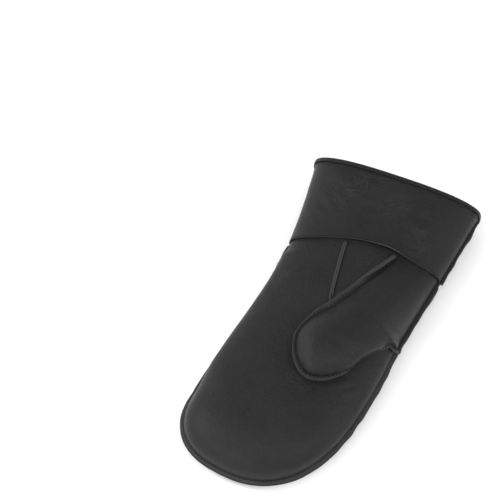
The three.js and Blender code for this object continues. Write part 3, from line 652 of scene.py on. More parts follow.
def thumb_grid(end, face):
    """A skin of the thumb: face is 1 for the one on top and -1 for the one on the palm."""
    tip = thumb_tip_rows()
    neck = THUMB_ROOT - NOTCH_RUN
    rows = tip + spaced(tip[-1], neck, FINE_STEP) + spaced(neck, HAND_END, FINE_STEP)
    grid = []
    for v in rows:
        if v > end + SAME_PLACE:
            break
        frames = [thumb_seam(v), thumb_right_seam(v)]
        borders = [foot + across * face * seam_half(v) for foot, _, across in frames]
        shifts = [border - frame[0] for border, frame in zip(borders, frames)]
        groove = 0
        if face > 0:
            groove = GROOVE * (1 - smooth((THUMB_ROOT - v) / THUMB_LIFT_RUN))
        round_end = rise((v - THUMB_END) / THUMB_ROUND, 2)
        crown = THUMB_RISE * smooth((HAND_LENGTH - v) / HEEL_RUN)
        points = []
        for t in eased(THUMB_COLUMNS):
            x = thumb_across(v, t)
            shape = lerp(THUMB_LEFT_FULLNESS, THUMB_FULLNESS, smooth(SHAPE_BLEND * t))
            if face < 0:
                shape = THUMB_BACK_FULLNESS
            full = arch((t - groove) / (1 - groove), shape) * round_end
            lift = thumb_lift(v, t)
            p = palm_point(v, x)
            if face > 0:
                p += palm_normal(v, x) * lift + Vector((0, 0, crown * full))
            else:
                p += palm_normal(v, x) * (lift - (lift - GAP) * full)
            p += shifts[0].lerp(shifts[1], t) * (1 - full)
            if face > 0:
                side = smooth((t - THUMB_BULGE_FROM) / (1 - THUMB_BULGE_FROM))
                p += THUMB_BULGE_WAY * THUMB_BULGE * tucked(v) * side * hump(full)
            points.append(p)
        grown = smooth((v - THUMB_ROOT + EDGE_GROWS) / EDGE_GROWS)
        left = borders[0] + frames[0][1] * lerp(THUMB_EDGE, THUMB_RIDGE, grown) * edge_share(v)
        right = borders[1] + frames[1][1] * lerp(THUMB_EDGE, SEAM_EDGE, grown) * edge_share(v)
        grid.append([left] + points + [right])
    return grid


def cuff_grid():
    """The cuff's band, from its edge in the side seam once round the wrist."""
    rows = [0] + spaced(0, 1, STEP / CUFF_DEPTH)
    turns = eased(CUFF_COLUMNS)
    grid = []
    for c in rows:
        points = [cuff_point(c, t, 0, SEAM_HALF) for t in turns]
        points += [cuff_point(c, 1 + t, 0, SEAM_HALF) for t in turns[1:]]
        change = CUFF_EDGE_UNEVEN * uneven(c, CUFF_EDGE_RUN, CUFF_EDGE_SEED)
        width = EDGE_SHOWN * CUFF_EDGE_TRIM * cuff_edge_share(c) * (1 + change)
        out = Vector((width, 0, 0))
        grid.append([points[0] + out] + points + [points[-1] + out])
    return grid


def cuff_ring(c, inset, seam):
    """A closed ring round the cuff."""
    turns = eased(CUFF_COLUMNS)
    over = [cuff_point(c, t, inset, seam) for t in turns]
    under = [cuff_point(c, 1 + t, inset, seam) for t in turns[1:]]
    return (over + under + [over[0]])[::-1]


def binding_grid():
    """The strip's outer face: up the leather, round over the edge and down the wool."""
    wall = LEATHER + 1.5 * GAP + BOUND_WOOL
    past = 1 + GAP / CUFF_DEPTH
    outer = -GAP - BINDING
    inner = wall + GAP + BINDING
    rings = []
    on_leather, round_edge, on_wool = BINDING_STEPS
    for t in steps(on_leather):
        rings.append((lerp(1 - BINDING_OUTSIDE / CUFF_DEPTH, past, t), outer))
    for t in steps(round_edge)[1:]:
        angle = math.pi * t
        across = (1 - math.cos(angle)) / 2
        top = BINDING / CUFF_DEPTH * math.sin(angle) ** 0.5 if 0 < t < 1 else 0
        rings.append((past + top, lerp(outer, inner, across)))
    for t in steps(on_wool)[1:]:
        rings.append((lerp(past, 1 - BINDING_INSIDE / CUFF_DEPTH, t), inner))
    return [cuff_ring(c, inset, SEAM_HALF if inset < 0 else 0) for c, inset in rings]


# Fans of soft folds in plan: middle, direction and spread in degrees, how many, and their
# length, width and depth
CREASE_FANS = {
    "palm": (
        (62, 100, 62, 16, 4, 30, 2.6, 0.45),
        (-42, 165, 70, 20, 3, 30, 3.4, 0.3),
        (14, 88, 72, 22, 4, 9, 1.7, 0.35),
    ),
    "thumb": ((62, 166, 52, 14, 2, 20, 3.2, 0.3),),
    "cuff": (
        (-40, 243, -14, 18, 3, 30, 3.6, 0.5),
        (-10, 262, 38, 18, 3, 34, 3.4, 0.5),
        (36, 250, 15, 25, 3, 30, 4.0, 0.4),
    ),
    "gusset": ((12, 208, 40, 25, 3, 10, 1.6, 0.25),),
    "back": (),
}

# Patches of fine wrinkles in the grain: middle, direction in degrees, reach along and across it,
# and how deep they are drawn
WRINKLES = (
    (-40, 245, -20, 22, 17, 0.8),
    (-22, 264, 35, 26, 13, 1.1),
    (6, 256, 40, 28, 14, 1.0),
    (43, 235, -30, 20, 13, 1.0),
    (13, 208, 45, 15, 12, 0.9),
    (14, 88, 75, 12, 16, 1.2),
    (60, 92, -15, 20, 36, 0.8),
    (62, 172, 55, 14, 9, 0.5),
)
WRINKLE_PITCH = 2.2
WRINKLE_LONG = 0.4  # share of the pitch's frequency along a wrinkle
WRINKLE_CORE = 0.15  # share of a patch's reach in which it keeps its whole depth
WRINKLE_LINE = 0.09  # half the width of a line, in the noise's own values
WRINKLE_DEPTH = 0.35
WRINKLE_RUB_AND_HIGHLIGHT = 0.2  # how far the colour goes paler along the wrinkles: partly a rubbed finish, partly a painted highlight where the creases catch the light


# How the creases of a fan differ: ranges of shares of its length, width and depth
FAN_FILL = 0.9
CREASE_SHIFT = 2
CREASE_HALVES = (0.3, 0.55)
CREASE_BOWS = (-0.25, 0.25)
CREASE_WIDTHS = (0.75, 1.3)
CREASE_DEPTHS = (0.5, 1.1)


def fan_creases(kind):
    """The single creases of a kind of skin: ends, width, depth, and the bow of each one's middle."""
    dice = random.Random(kind)
    rows = []
    for x, y, turn, spread, count, length, width, depth in CREASE_FANS[kind]:
        for k in range(count):
            angle = math.radians(turn + spread * (dice.random() - 0.5) * 2)
            share = (k + 0.5) / count - 0.5
            side = math.radians(turn + 90)
            reach = FAN_FILL * length * share
            mx = x + reach * math.cos(side) + dice.uniform(-CREASE_SHIFT, CREASE_SHIFT)
            my = y + reach * math.sin(side) + dice.uniform(-CREASE_SHIFT, CREASE_SHIFT)
            half = length * dice.uniform(*CREASE_HALVES)
            dx = half * math.cos(angle)
            dy = half * math.sin(angle)
            bow = half * dice.uniform(*CREASE_BOWS)
            size = width * dice.uniform(*CREASE_WIDTHS)
            deep = depth * dice.uniform(*CREASE_DEPTHS)
            rows.append((mx - dx, my - dy, mx + dx, my + dy, size, deep, bow))
    return rows


CREASE_TAPER = 0.8
LIP_AWAY = 1.9
LIP_HEIGHT = 0.5


def crease_depth(rows, x, y):
    """Depth of the creases at points of the plan. Each has a raised lip on both sides."""
    total = np.zeros(len(x))
    for x0, y0, x1, y1, width, depth, bow in rows:
        run = np.array([x1 - x0, y1 - y0])
        size = np.hypot(*run)
        way = run / size
        t = ((x - x0) * way[0] + (y - y0) * way[1]) / size
        inside = np.clip(t, 0, 1)
        off = -(x - x0) * way[1] + (y - y0) * way[0] - bow * np.sin(np.pi * inside)
        taper = np.sin(np.pi * inside) ** CREASE_TAPER * ((t > 0) & (t < 1))
        valley = -np.exp(-((off / width) ** 2))
        lips = np.exp(-(((np.abs(off) - LIP_AWAY * width) / width) ** 2))
        total += depth * taper * (valley + LIP_HEIGHT * lips)
    return total


# Places of a skin's materials, after its grain side's own
CUT_SLOT = 1
# The turned edges take a paler leather: partly their real wear, partly a painted highlight on their
# flanks where the light falls
WORN_AND_LIT_SLOT = 2
MERGED = 0.01
FLATTENED = 0.001
SHARP = math.radians(48)


def link(name, mesh):
    piece = bpy.data.objects.new(name, mesh)
    bpy.context.scene.collection.objects.link(piece)
    return piece


def select_only(piece):
    bpy.ops.object.select_all(action="DESELECT")
    piece.select_set(True)
    bpy.context.view_layer.objects.active = piece


def sheet_mesh(name, grids, flips, edged=True):
    """One open mesh from grids of points, with its doubles merged, in millimetres. Where it is
    edged, its outer columns are the turned edges."""
    shape = bmesh.new()
    for grid, flip in zip(grids, flips):
        made = [[shape.verts.new(p) for p in row] for row in grid]
        for i in range(len(made) - 1):
            for j in range(len(made[0]) - 1):
                corners = [made[i][j], made[i][j + 1], made[i + 1][j + 1], made[i + 1][j]]
                face = shape.faces.new(corners[::-1] if flip else corners)
                # the outer columns get the paler leather: partly wear, partly a painted highlight on
                # the seams' flanks
                if edged and j in (0, len(made[0]) - 2):
                    face.material_index = WORN_AND_LIT_SLOT
    bmesh.ops.remove_doubles(shape, verts=shape.verts, dist=MERGED)
    bmesh.ops.dissolve_degenerate(shape, dist=FLATTENED, edges=shape.edges)
    shape.normal_update()
    mesh = bpy.data.meshes.new(name)
    shape.to_mesh(mesh)
    shape.free()
    return mesh


# The unevenness of a skin: sizes of its waves, and where it fades out
WIDE_WAVE = 34
MEDIUM_WAVE = 13
MEDIUM_SHARE = 0.3
MEDIUM_SHIFT = Vector((7, 3, 1))
PUCKER_WAVE = 2.3
PUCKER = 0.25
PUCKER_FADE = 2.6
PUCKER_START = 2
CALM_EDGE = SEAM_EDGE + 0.5
CALM_RUN = 9
CREASED_ABOVE = 20
PRESSED_BELOW = 0.6
PRESSED_RUN = 4


def relieve(mesh, creases, swell):
    """Gives a skin its creases, soft unevenness and the puckers along its seams."""
    count = len(mesh.vertices)
    places = np.zeros(count * 3)
    mesh.vertices.foreach_get("co", places)
    places = places.reshape(-1, 3)
    normals = np.array([v.normal for v in mesh.vertices])
    uses = {}
    for face in mesh.polygons:
        for key in face.edge_keys:
            uses[key] = uses.get(key, 0) + 1
    border = {i for key, n in uses.items() if n == 1 for i in key}
    tree = KDTree(len(border))
    for i in border:
        tree.insert(places[i], i)
    tree.balance()
    inland = np.array([tree.find(p)[2] for p in places])
    fade = np.clip((inland - CALM_EDGE) / CALM_RUN, 0, 1)
    fade = fade * fade * (3 - 2 * fade)
    near = np.exp(-np.maximum(0, inland - SEAM_EDGE) / PUCKER_FADE)
    near *= np.clip((inland - PUCKER_START) / PUCKER_START, 0, 1)
    wide = np.array([noise.noise(Vector(p) / WIDE_WAVE) for p in places])
    medium = np.array([noise.noise(Vector(p) / MEDIUM_WAVE + MEDIUM_SHIFT) for p in places])
    small = np.array([noise.noise(Vector(p) / PUCKER_WAVE) for p in places])
    on_top = places[:, 2] > CREASED_ABOVE
    height = fade * swell * (wide + MEDIUM_SHARE * medium)
    height += PUCKER * near * small
    height += fade * crease_depth(creases, places[:, 0], places[:, 1]) * on_top
    # What rests on the surface stays flat
    height *= np.clip((places[:, 2] - PRESSED_BELOW) / PRESSED_RUN, 0, 1)
    places += normals * height[:, None]
    mesh.vertices.foreach_set("co", places.ravel())
    mesh.update()


MITRE_LIMIT = 1.7  # most times the thickness that an inner point moves at a fold
STEADY = 0.01
TINY = 1e-9


def thicken(mesh, thickness):
    """Gives an open sheet its thickness on the flesh side, with a cut edge round it. Each inner
    point keeps the thickness from all the faces that meet there."""
    count = len(mesh.vertices)
    places = np.zeros(count * 3)
    mesh.vertices.foreach_get("co", places)
    places = places.reshape(-1, 3)
    mesh.calc_loop_triangles()
    corners = np.array([tri.vertices for tri in mesh.loop_triangles])
    points = places[corners]
    normals = np.cross(points[:, 1] - points[:, 0], points[:, 2] - points[:, 0])
    normals /= np.maximum(np.linalg.norm(normals, axis=1, keepdims=True), TINY)
    planes = np.zeros((count, 3, 3))
    sums = np.zeros((count, 3))
    for k in range(3):
        one = points[:, (k + 1) % 3] - points[:, k]
        two = points[:, (k + 2) % 3] - points[:, k]
        sizes = np.linalg.norm(one, axis=1) * np.linalg.norm(two, axis=1)
        share = np.arccos(np.clip((one * two).sum(1) / np.maximum(sizes, TINY), -1, 1))
        np.add.at(planes, corners[:, k], share[:, None, None] * normals[:, :, None] * normals[:, None])
        np.add.at(sums, corners[:, k], share[:, None] * normals)
    steady = STEADY * np.trace(planes, axis1=1, axis2=2)[:, None, None] + TINY
    ways = np.linalg.solve(planes + steady * np.eye(3), sums[:, :, None])[:, :, 0]
    sizes = np.maximum(np.linalg.norm(ways, axis=1, keepdims=True), TINY)
    ways *= np.clip(sizes, 1, MITRE_LIMIT) / sizes
    inner = places - ways * thickness
    faces = [tuple(face.vertices) for face in mesh.polygons]
    walked = {(face[i - 1], face[i]) for face in faces for i in range(len(face))}
    rim = [(b, a, count + a, count + b) for a, b in walked if (b, a) not in walked]
    rim.sort()
    back = [tuple(count + i for i in reversed(face)) for face in faces]
    made = bpy.data.meshes.new(mesh.name)
    made.from_pydata([*map(tuple, places), *map(tuple, inner)], [], faces + back + rim)
    for face, source in zip(made.polygons, mesh.polygons):
        face.material_index = source.material_index
    for face in made.polygons[len(faces) + len(back) :]:
        face.material_index = CUT_SLOT
    made.update()
    return made


def cut_size(grids):
    """Width and length of the flat piece that a skin was cut from: its longest row and columns."""

    def longest(rows):
        return max(sum((b - a).length for a, b in zip(row, row[1:])) for row in rows)

    return longest([row for grid in grids for row in grid]), sum(longest(zip(*g)) for g in grids)


def finish_skin(name, mesh, grids, materials, thickness, node):
    width, length = cut_size(grids)
    mesh = thicken(mesh, thickness)
    mesh.transform(Matrix.Scale(MM, 4) @ Matrix.Translation(SHIFT))
    piece = link(name, mesh)
    for material in materials:
        mesh.materials.append(material)
    select_only(piece)
    bpy.ops.object.shade_smooth_by_angle(angle=SHARP)
    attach(piece, "root")
    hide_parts(node)


# Materials
def linear(text):
    """An sRGB hex colour as linear values."""
    values = [int(text[i : i + 2], 16) / 255 for i in (1, 3, 5)]
    made = [v / 12.92 if v <= 0.04045 else ((v + 0.055) / 1.055) ** 2.4 for v in values]
    return (*made, 1.0)


def add(tree, kind, inputs, stops=(), **settings):
    """Adds a shader node with its settings, and sets or links its inputs. A colour ramp's stops are
    places with their sRGB hex colours."""
    made = tree.nodes.new("ShaderNode" + kind)
    for key, value in settings.items():
        setattr(made, key, value)
    for key, value in inputs.items():
        if isinstance(value, bpy.types.NodeSocket):
            tree.links.new(value, made.inputs[key])
        else:
            made.inputs[key].default_value = value
    if stops:
        elements = made.color_ramp.elements
        while len(elements) < len(stops):
            elements.new(0.5)
        for element, (at, colour) in zip(elements, stops):
            element.position = at
            element.color = linear(colour)
    return made


def new_material(name):
    material = bpy.data.materials.new(name)
    material.use_nodes = True
    tree = material.node_tree
    tree.nodes.clear()
    place = add(tree, "TexCoord", {}).outputs["Object"]
    return material, tree, place


def close(tree, inputs):
    shader = add(tree, "BsdfPrincipled", inputs)
    add(tree, "OutputMaterial", {"Surface": shader.outputs["BSDF"]})


def per_metre(size_mm):
    return 1 / (size_mm * MM)


def wrinkled(tree, place):
    """Height of the fine wrinkles: bent lines inside each patch, fading out towards its rim."""
    total = None
    finely = 1 / WRINKLE_PITCH
    squeeze = (WRINKLE_LONG * finely, finely, WRINKLE_LONG * finely)
    noise_settings = {"Scale": 0.8, "Detail": 2.0, "Distortion": 1.2}
    for x, y, turn, length, width, depth in WRINKLES:
        frame_of_patch = {
            "Vector": place,
            "Location": (Vector((x, y, HAND_THICKNESS)) + SHIFT) * MM,
            "Rotation": (0, 0, math.radians(turn)),
            "Scale": (MM, MM, MM),
        }
        own = add(tree, "Mapping", frame_of_patch, vector_type="TEXTURE").outputs["Vector"]
        reach = (1 / length, 1 / width, 1 / HAND_THICKNESS)
        share = add(tree, "VectorMath", {0: own, 1: reach}, operation="MULTIPLY")
        far = add(tree, "VectorMath", {0: share.outputs["Vector"]}, operation="LENGTH")
        inside = add(
            tree,
            "MapRange",
            {
                "Value": far.outputs["Value"],
                "From Min": WRINKLE_CORE,
                "From Max": 1.0,
                "To Min": depth,
                "To Max": 0.0,
            },
            interpolation_type="SMOOTHSTEP",
        )
        drawn = add(tree, "VectorMath", {0: own, 1: squeeze}, operation="MULTIPLY")
        bent = add(tree, "TexNoise", {"Vector": drawn.outputs["Vector"], **noise_settings})
        off = add(tree, "Math", {0: bent.outputs["Fac"], 1: 0.5}, operation="SUBTRACT")
        size = add(tree, "Math", {0: off.outputs["Value"]}, operation="ABSOLUTE")
        line = add(
            tree,
            "MapRange",
            {
                "Value": size.outputs["Value"],
                "From Min": 0.0,
                "From Max": WRINKLE_LINE,
                "To Min": -1.0,
                "To Max": 0.0,
            },
            interpolation_type="SMOOTHSTEP",
        )
        both = {0: line.outputs["Result"], 1: inside.outputs["Result"]}
        mine = add(tree, "Math", both, operation="MULTIPLY").outputs["Value"]
        if total is not None:
            mine = add(tree, "Math", {0: total, 1: mine}, operation="ADD").outputs["Value"]
        total = mine
    return total


def nappa_leather(name, dark, pale, roughness):
    """Drum-dyed black sheep nappa with a light finish: a soft sheen over a fine pebbled grain."""
    material, tree, place = new_material(name)
    drift = add(tree, "TexNoise", {"Vector": place, "Scale": per_metre(6), "Detail": 3.0})
    bend = (0.6 * MM, 0.6 * MM, 0.6 * MM)
    bent = add(tree, "VectorMath", {0: drift.outputs["Color"], 1: bend}, operation="MULTIPLY")
    moved = add(tree, "VectorMath", {0: place, 1: bent.outputs["Vector"]}, operation="ADD")
    # Real grain is 0.5 to 0.8 mm; it is drawn a little larger so that it shows
    grain = add(
        tree,
        "TexVoronoi",
        {"Vector": moved.outputs["Vector"], "Scale": per_metre(0.9)},
        feature="DISTANCE_TO_EDGE",
    )
    pebble = add(
        tree,
        "MapRange",
        {"Value": grain.outputs["Distance"], "From Min": 0.0, "From Max": 0.25},
        interpolation_type="SMOOTHSTEP",
    )
    fine = add(tree, "TexNoise", {"Vector": place, "Scale": per_metre(2.6), "Detail": 5.0})
    cloud = add(tree, "TexNoise", {"Vector": place, "Scale": per_metre(38), "Detail": 4.0})
    wrinkle_lines = wrinkled(tree, place)
    plain = add(tree, "ValToRGB", {"Fac": cloud.outputs["Fac"]}, [(0.3, dark), (0.7, pale)])
    # The colour is paler along the wrinkles: partly a rubbed finish, partly a painted highlight where
    # the creases catch the light
    depth = {0: wrinkle_lines, 1: -WRINKLE_RUB_AND_HIGHLIGHT}
    rubbed_and_highlit = add(tree, "Math", depth, operation="MULTIPLY", use_clamp=True)
    colours = {
        0: rubbed_and_highlit.outputs["Value"],
        6: plain.outputs["Color"],
        7: linear("#3a3a3b"),
    }
    shade = add(tree, "Mix", colours, data_type="RGBA")
    gloss = add(
        tree,
        "MapRange",
        {
            "Value": cloud.outputs["Fac"],
            "From Min": 0.3,
            "From Max": 0.7,
            "To Min": roughness - 0.05,
            "To Max": roughness + 0.06,
        },
    )
    broad = add(
        tree, "Bump", {"Height": wrinkle_lines, "Strength": 1.0, "Distance": WRINKLE_DEPTH * MM}
    )
    low = add(
        tree,
        "Bump",
        {
            "Height": fine.outputs["Fac"],
            "Strength": 0.7,
            "Distance": 0.55 * MM,
            "Normal": broad.outputs["Normal"],
        },
    )
    high = add(
        tree,
        "Bump",
        {
            "Height": pebble.outputs["Result"],
            "Strength": 0.7,
            "Distance": 0.12 * MM,
            "Normal": low.outputs["Normal"],
        },
    )
    close(
        tree,
        {
            "Base Color": shade.outputs[2],
            "Roughness": gloss.outputs["Result"],
            "Specular IOR Level": 0.25,
            "Normal": high.outputs["Normal"],
        },
    )
    return material


def cut_edge():
    """The raw edge of dyed leather: dull, fibrous and paler than the finished grain."""
    material, tree, place = new_material("cut_edge_of_dyed_leather")
    fibre = add(tree, "TexNoise", {"Vector": place, "Scale": per_metre(0.9), "Detail": 4.0})
    height = fibre.outputs["Fac"]
    shade = add(tree, "ValToRGB", {"Fac": height}, [(0.3, "#1b1b1c"), (0.7, "#323132")])
    bump = add(tree, "Bump", {"Height": height, "Strength": 0.5, "Distance": 0.2 * MM})
    close(
        tree,
        {
            "Base Color": shade.outputs["Color"],
            "Roughness": 0.8,
            "Normal": bump.outputs["Normal"],
        },
    )
    return material


def sheared_wool():
    """Sheared lambswool: crimped fibres in soft clumps, grey-brown, with painted shade at the roots:
    darker where its fine bump is low.
    """
    material, tree, place = new_material("sheared_lambswool")
    clump = add(tree, "TexNoise", {"Vector": place, "Scale": per_metre(4.5), "Detail": 3.0})
    speck = add(tree, "TexNoise", {"Vector": place, "Scale": per_metre(1.1), "Detail": 6.0})
    # The fine noise that makes the bump also darkens its low places: painted shade in the pile, over a
    # random tone from the clumps
    parts = {0: clump.outputs["Fac"], 1: speck.outputs["Fac"], 2: 0.24}
    mixed = add(tree, "Math", parts, operation="MULTIPLY_ADD")
    tones = [(0.36, "#2e2725"), (0.47, "#5d5350"), (0.6, "#8a7d78"), (0.72, "#a39791")]
    shade = add(tree, "ValToRGB", {"Fac": mixed.outputs["Value"]}, tones)
    height = speck.outputs["Fac"]
    bump = add(tree, "Bump", {"Height": height, "Strength": 0.8, "Distance": 0.8 * MM})
    close(
        tree,
        {
            "Base Color": shade.outputs["Color"],
            "Roughness": 0.95,
            "Sheen Weight": 0.35,
            "Sheen Roughness": 0.5,
            "Normal": bump.outputs["Normal"],
        },
    )
    return material


def sewing_thread():
    """Bonded nylon thread, black, with a slight shine on its twist."""
    material, tree, place = new_material("bonded_nylon_thread")
    twist = add(
        tree,
        "TexWave",
        {"Vector": place, "Scale": per_metre(0.9), "Distortion": 1.0},
        bands_direction="DIAGONAL",
    )
    height = twist.outputs["Fac"]
    # The twist's crests are coloured paler than its hollows: a painted sheen on the thread
    shade = add(tree, "ValToRGB", {"Fac": height}, [(0.2, "#070708"), (0.8, "#0f0f10")])
    bump = add(tree, "Bump", {"Height": height, "Strength": 0.4, "Distance": 0.1 * MM})
    close(
        tree,
        {
            "Base Color": shade.outputs["Color"],
            "Roughness": 0.65,
            "Specular IOR Level": 0.15,
            "Normal": bump.outputs["Normal"],
        },
    )
    return material


def studio_floor():
    """A sheet of matt white paper, so that the mitten stands clear of it."""
    material, tree, place = new_material("matt_white_paper")
    tooth = add(tree, "TexNoise", {"Vector": place, "Scale": per_metre(1.5)})
    height = tooth.outputs["Fac"]
    bump = add(tree, "Bump", {"Height": height, "Strength": 0.05, "Distance": 0.1 * MM})
    white = linear("#fbfbfb")
    close(tree, {"Base Color": white, "Roughness": 0.9, "Normal": bump.outputs["Normal"]})
    return material


# Camera, light and floor
CAMERA_TURN = math.radians(30.2)
CAMERA_RISE = math.radians(65.5)
CAMERA_AWAY = 2.52
CAMERA_LOOKS_AT = Vector((-0.0838, 0.0371, 0.0))
VIEW_WIDTH = 0.4122  # metres of the floor across the picture
SENSOR_WIDTH = 36

# Soft boxes: place and size in metres, and power in watts
SOFT_BOXES = {
    "overhead": ((0.3, -0.25, 1.45), (0.6, 0.4), 4),
    "left": ((-1.05, -0.4, 1.1), (0.5, 0.5), 11),
    "right": ((0.9, -0.1, 1.15), (0.5, 0.5), 6),
    "front": ((-0.3, -1.3, 0.95), (0.8, 0.4), 7),
}
# The light tent: its strength from the height of its shoulder up to that of its top
TENT = {"From Min": 0.35, "From Max": 0.93, "To Min": 1.25, "To Max": 0.37}
FLOOR_SIZE = 6


def make_camera():
    back = Vector(
        (
            math.sin(CAMERA_TURN) * math.cos(CAMERA_RISE),
            -math.cos(CAMERA_TURN) * math.cos(CAMERA_RISE),
            math.sin(CAMERA_RISE),
        )
    )
    data = bpy.data.cameras.new("camera")
    data.sensor_width = SENSOR_WIDTH
    data.lens = data.sensor_width * CAMERA_AWAY / VIEW_WIDTH
    camera = link("camera", data)
    camera.location = CAMERA_LOOKS_AT + back * CAMERA_AWAY
    camera.rotation_mode = "QUATERNION"
    camera.rotation_quaternion = (-back).to_track_quat("-Z", "Y")
    bpy.context.scene.camera = camera


def area_light(name, place, size, power):
    data = bpy.data.lights.new(name, "AREA")
    data.shape = "RECTANGLE"
    data.size = size[0]
    data.size_y = size[1]
    data.energy = power
    lamp = link(name, data)
    lamp.location = place
    lamp.rotation_mode = "QUATERNION"
    lamp.rotation_quaternion = (-Vector(place)).to_track_quat("-Z", "Y")


def make_studio():
    world = bpy.data.worlds.new("studio")
    world.use_nodes = True
    background = world.node_tree.nodes["Background"]
    background.inputs["Color"].default_value = linear("#ffffff")
    # A light tent that is darker overhead, where the camera looks in
    tree = world.node_tree
    way = add(tree, "TexCoord", {}).outputs["Generated"]
    height = add(tree, "SeparateXYZ", {"Vector": way}).outputs["Z"]
    fall = add(tree, "MapRange", {"Value": height, **TENT}, interpolation_type="SMOOTHSTEP")
    tree.links.new(fall.outputs["Result"], background.inputs["Strength"])
    bpy.context.scene.world = world
    bpy.context.scene.view_settings.view_transform = "Standard"
    for side, (place, size, power) in SOFT_BOXES.items():
        area_light("soft_box_" + side, place, size, power)
    bpy.ops.mesh.primitive_plane_add(size=FLOOR_SIZE, location=(0, 0, 0))
    floor = bpy.context.object
    floor.name = "floor"
    floor.data.materials.append(studio_floor())


make_camera()
make_studio()
bpy.ops.object.select_all(action="DESELECT")

LEATHER_FINISH = nappa_leather("black_sheep_nappa", "#0d0d0e", "#131314", 0.4)
BINDING_FINISH = nappa_leather("black_binding_leather", "#0c0c0d", "#111112", 0.38)
# Paler leather for the turned edges and standing seams: partly their wear, partly a painted highlight
# on their flanks
WORN_AND_LIT_FINISH = nappa_leather("black_sheep_nappa_worn_and_lit_edge", "#1f1f20", "#2c2c2d", 0.45)
EDGE_FINISH = cut_edge()
WOOL_FINISH = sheared_wool()
THREAD_FINISH = sewing_thread()

# Leather skins: name, grids, whether each is turned over, kind of creases, CAD node, and what it
# rests on
SKINS = (
    ("palm_leather", palm_grids(), (False, False), "palm", "palm_panel", "hand_wool"),
    ("gusset_leather", [gusset_grid()], (True,), "gusset", "gusset_panel", "hand_wool"),
    (
        "thumb_front_leather",
        [thumb_grid(HAND_END, 1)],
        (False,),
        "thumb",
        "thumb_front_panel",
        "hand_wool",
    ),
    (
        "thumb_back_leather",
        [thumb_grid(THUMB_ROOT - NOTCH_RUN, -1)],
        (True,),
        "back",
        "thumb_back_panel",
        "palm_panel",
    ),
    (
        "back_leather_little_finger_side",
        [back_grid(hand_left, -1)],
        (False,),
        "back",
        "back_panel_little_finger_side",
        "floor",
    ),
    (
        "back_leather_thumb_side",
        [back_grid(hand_right, 1)],
        (True,),
        "back",
        "back_panel_thumb_side",
        "floor",
    ),
    ("cuff_leather", [cuff_grid()], (True,), "cuff", "cuff", "cuff_wool"),
)
# How softly uneven each kind of skin is, in millimetres
SWELLS = {"back": 0.25, "gusset": 0.2, "thumb": 0.45, "palm": 0.7, "cuff": 0.7}
for name, grids, flips, kind, node, under in SKINS:
    mesh = sheet_mesh(name, grids, flips)
    relieve(mesh, fan_creases(kind), SWELLS[kind])
    faces = (LEATHER_FINISH, EDGE_FINISH, WORN_AND_LIT_FINISH)
    finish_skin(name, mesh, grids, faces, LEATHER, node)

strip = binding_grid()
finish_skin(
    "binding_leather",
    sheet_mesh("binding_leather", [strip], (False,), edged=False),
    [strip],
    (BINDING_FINISH, EDGE_FINISH),
    BINDING,
    "cuff_binding",
)

# Stitches. One lies along x: the place, width and height of its rings, as shares of its length and
# of the thread. Both ends sink into the leather.
STITCH_SIDES = 6
STITCH_RINGS = (
    (-0.5, 0.15, -0.5),
    (-0.36, 0.8, -0.02),
    (0, 1, 0.12),
    (0.36, 0.8, -0.02),
    (0.5, 0.15, -0.5),
)


def in_order(mesh):
    """A mesh's points and faces in an order that is the same at each run, because extruding gives
    them in any order."""
    places = [tuple(v.co) for v in mesh.vertices]
    order = sorted(range(len(places)), key=places.__getitem__)
    rank = {old: new for new, old in enumerate(order)}
    faces = []
    for face in mesh.polygons:
        corners = [rank[i] for i in face.vertices]
        first = corners.index(min(corners))
        faces.append(tuple(corners[first:] + corners[:first]))
    return [places[i] for i in order], sorted(faces)


def stitch_form():
    """Models one stitch: a disc of thread, extruded and resized from ring to ring."""
    x, size, z = STITCH_RINGS[0]
    bpy.ops.mesh.primitive_circle_add(
        vertices=STITCH_SIDES,
        radius=size / 2,
        fill_type="NGON",
        location=(x, 0, z),
        rotation=(0, math.pi / 2, 0),
        enter_editmode=True,
    )
    for next_x, next_size, next_z in STITCH_RINGS[1:]:
        step = {"value": (next_x - x, 0, next_z - z)}
        bpy.ops.mesh.extrude_region_move(TRANSFORM_OT_translate=step)
        grown = next_size / size
        bpy.ops.transform.resize(value=(grown, grown, grown), center_override=(next_x, 0, next_z))
        x, size, z = next_x, next_size, next_z
    bpy.ops.mesh.select_all(action="SELECT")
    bpy.ops.mesh.normals_make_consistent(inside=False)
    bpy.ops.object.mode_set(mode="OBJECT")
    bead = bpy.context.object
    bpy.ops.object.transform_apply(location=True, rotation=True, scale=True)
    points, faces = in_order(bead.data)
    bpy.data.objects.remove(bead)
    return points, faces


STITCH_POINTS, STITCH_FACES = stitch_form()
STITCH_LENGTH = 1.6
STITCH_PITCH = 3.2
STITCH_SHIFT = 0.08  # share of the pitch by which a stitch is out of its place
THREAD = 1.0  # real thread is half as thick; it is drawn thicker so that it shows
EDGE_THREAD = 0.7
BINDING_STITCH_LENGTH = 1.5
BINDING_STITCH_PITCH = 2.7
HEM_STITCH_PITCH = 2.6
HEM_THREAD = 0.6


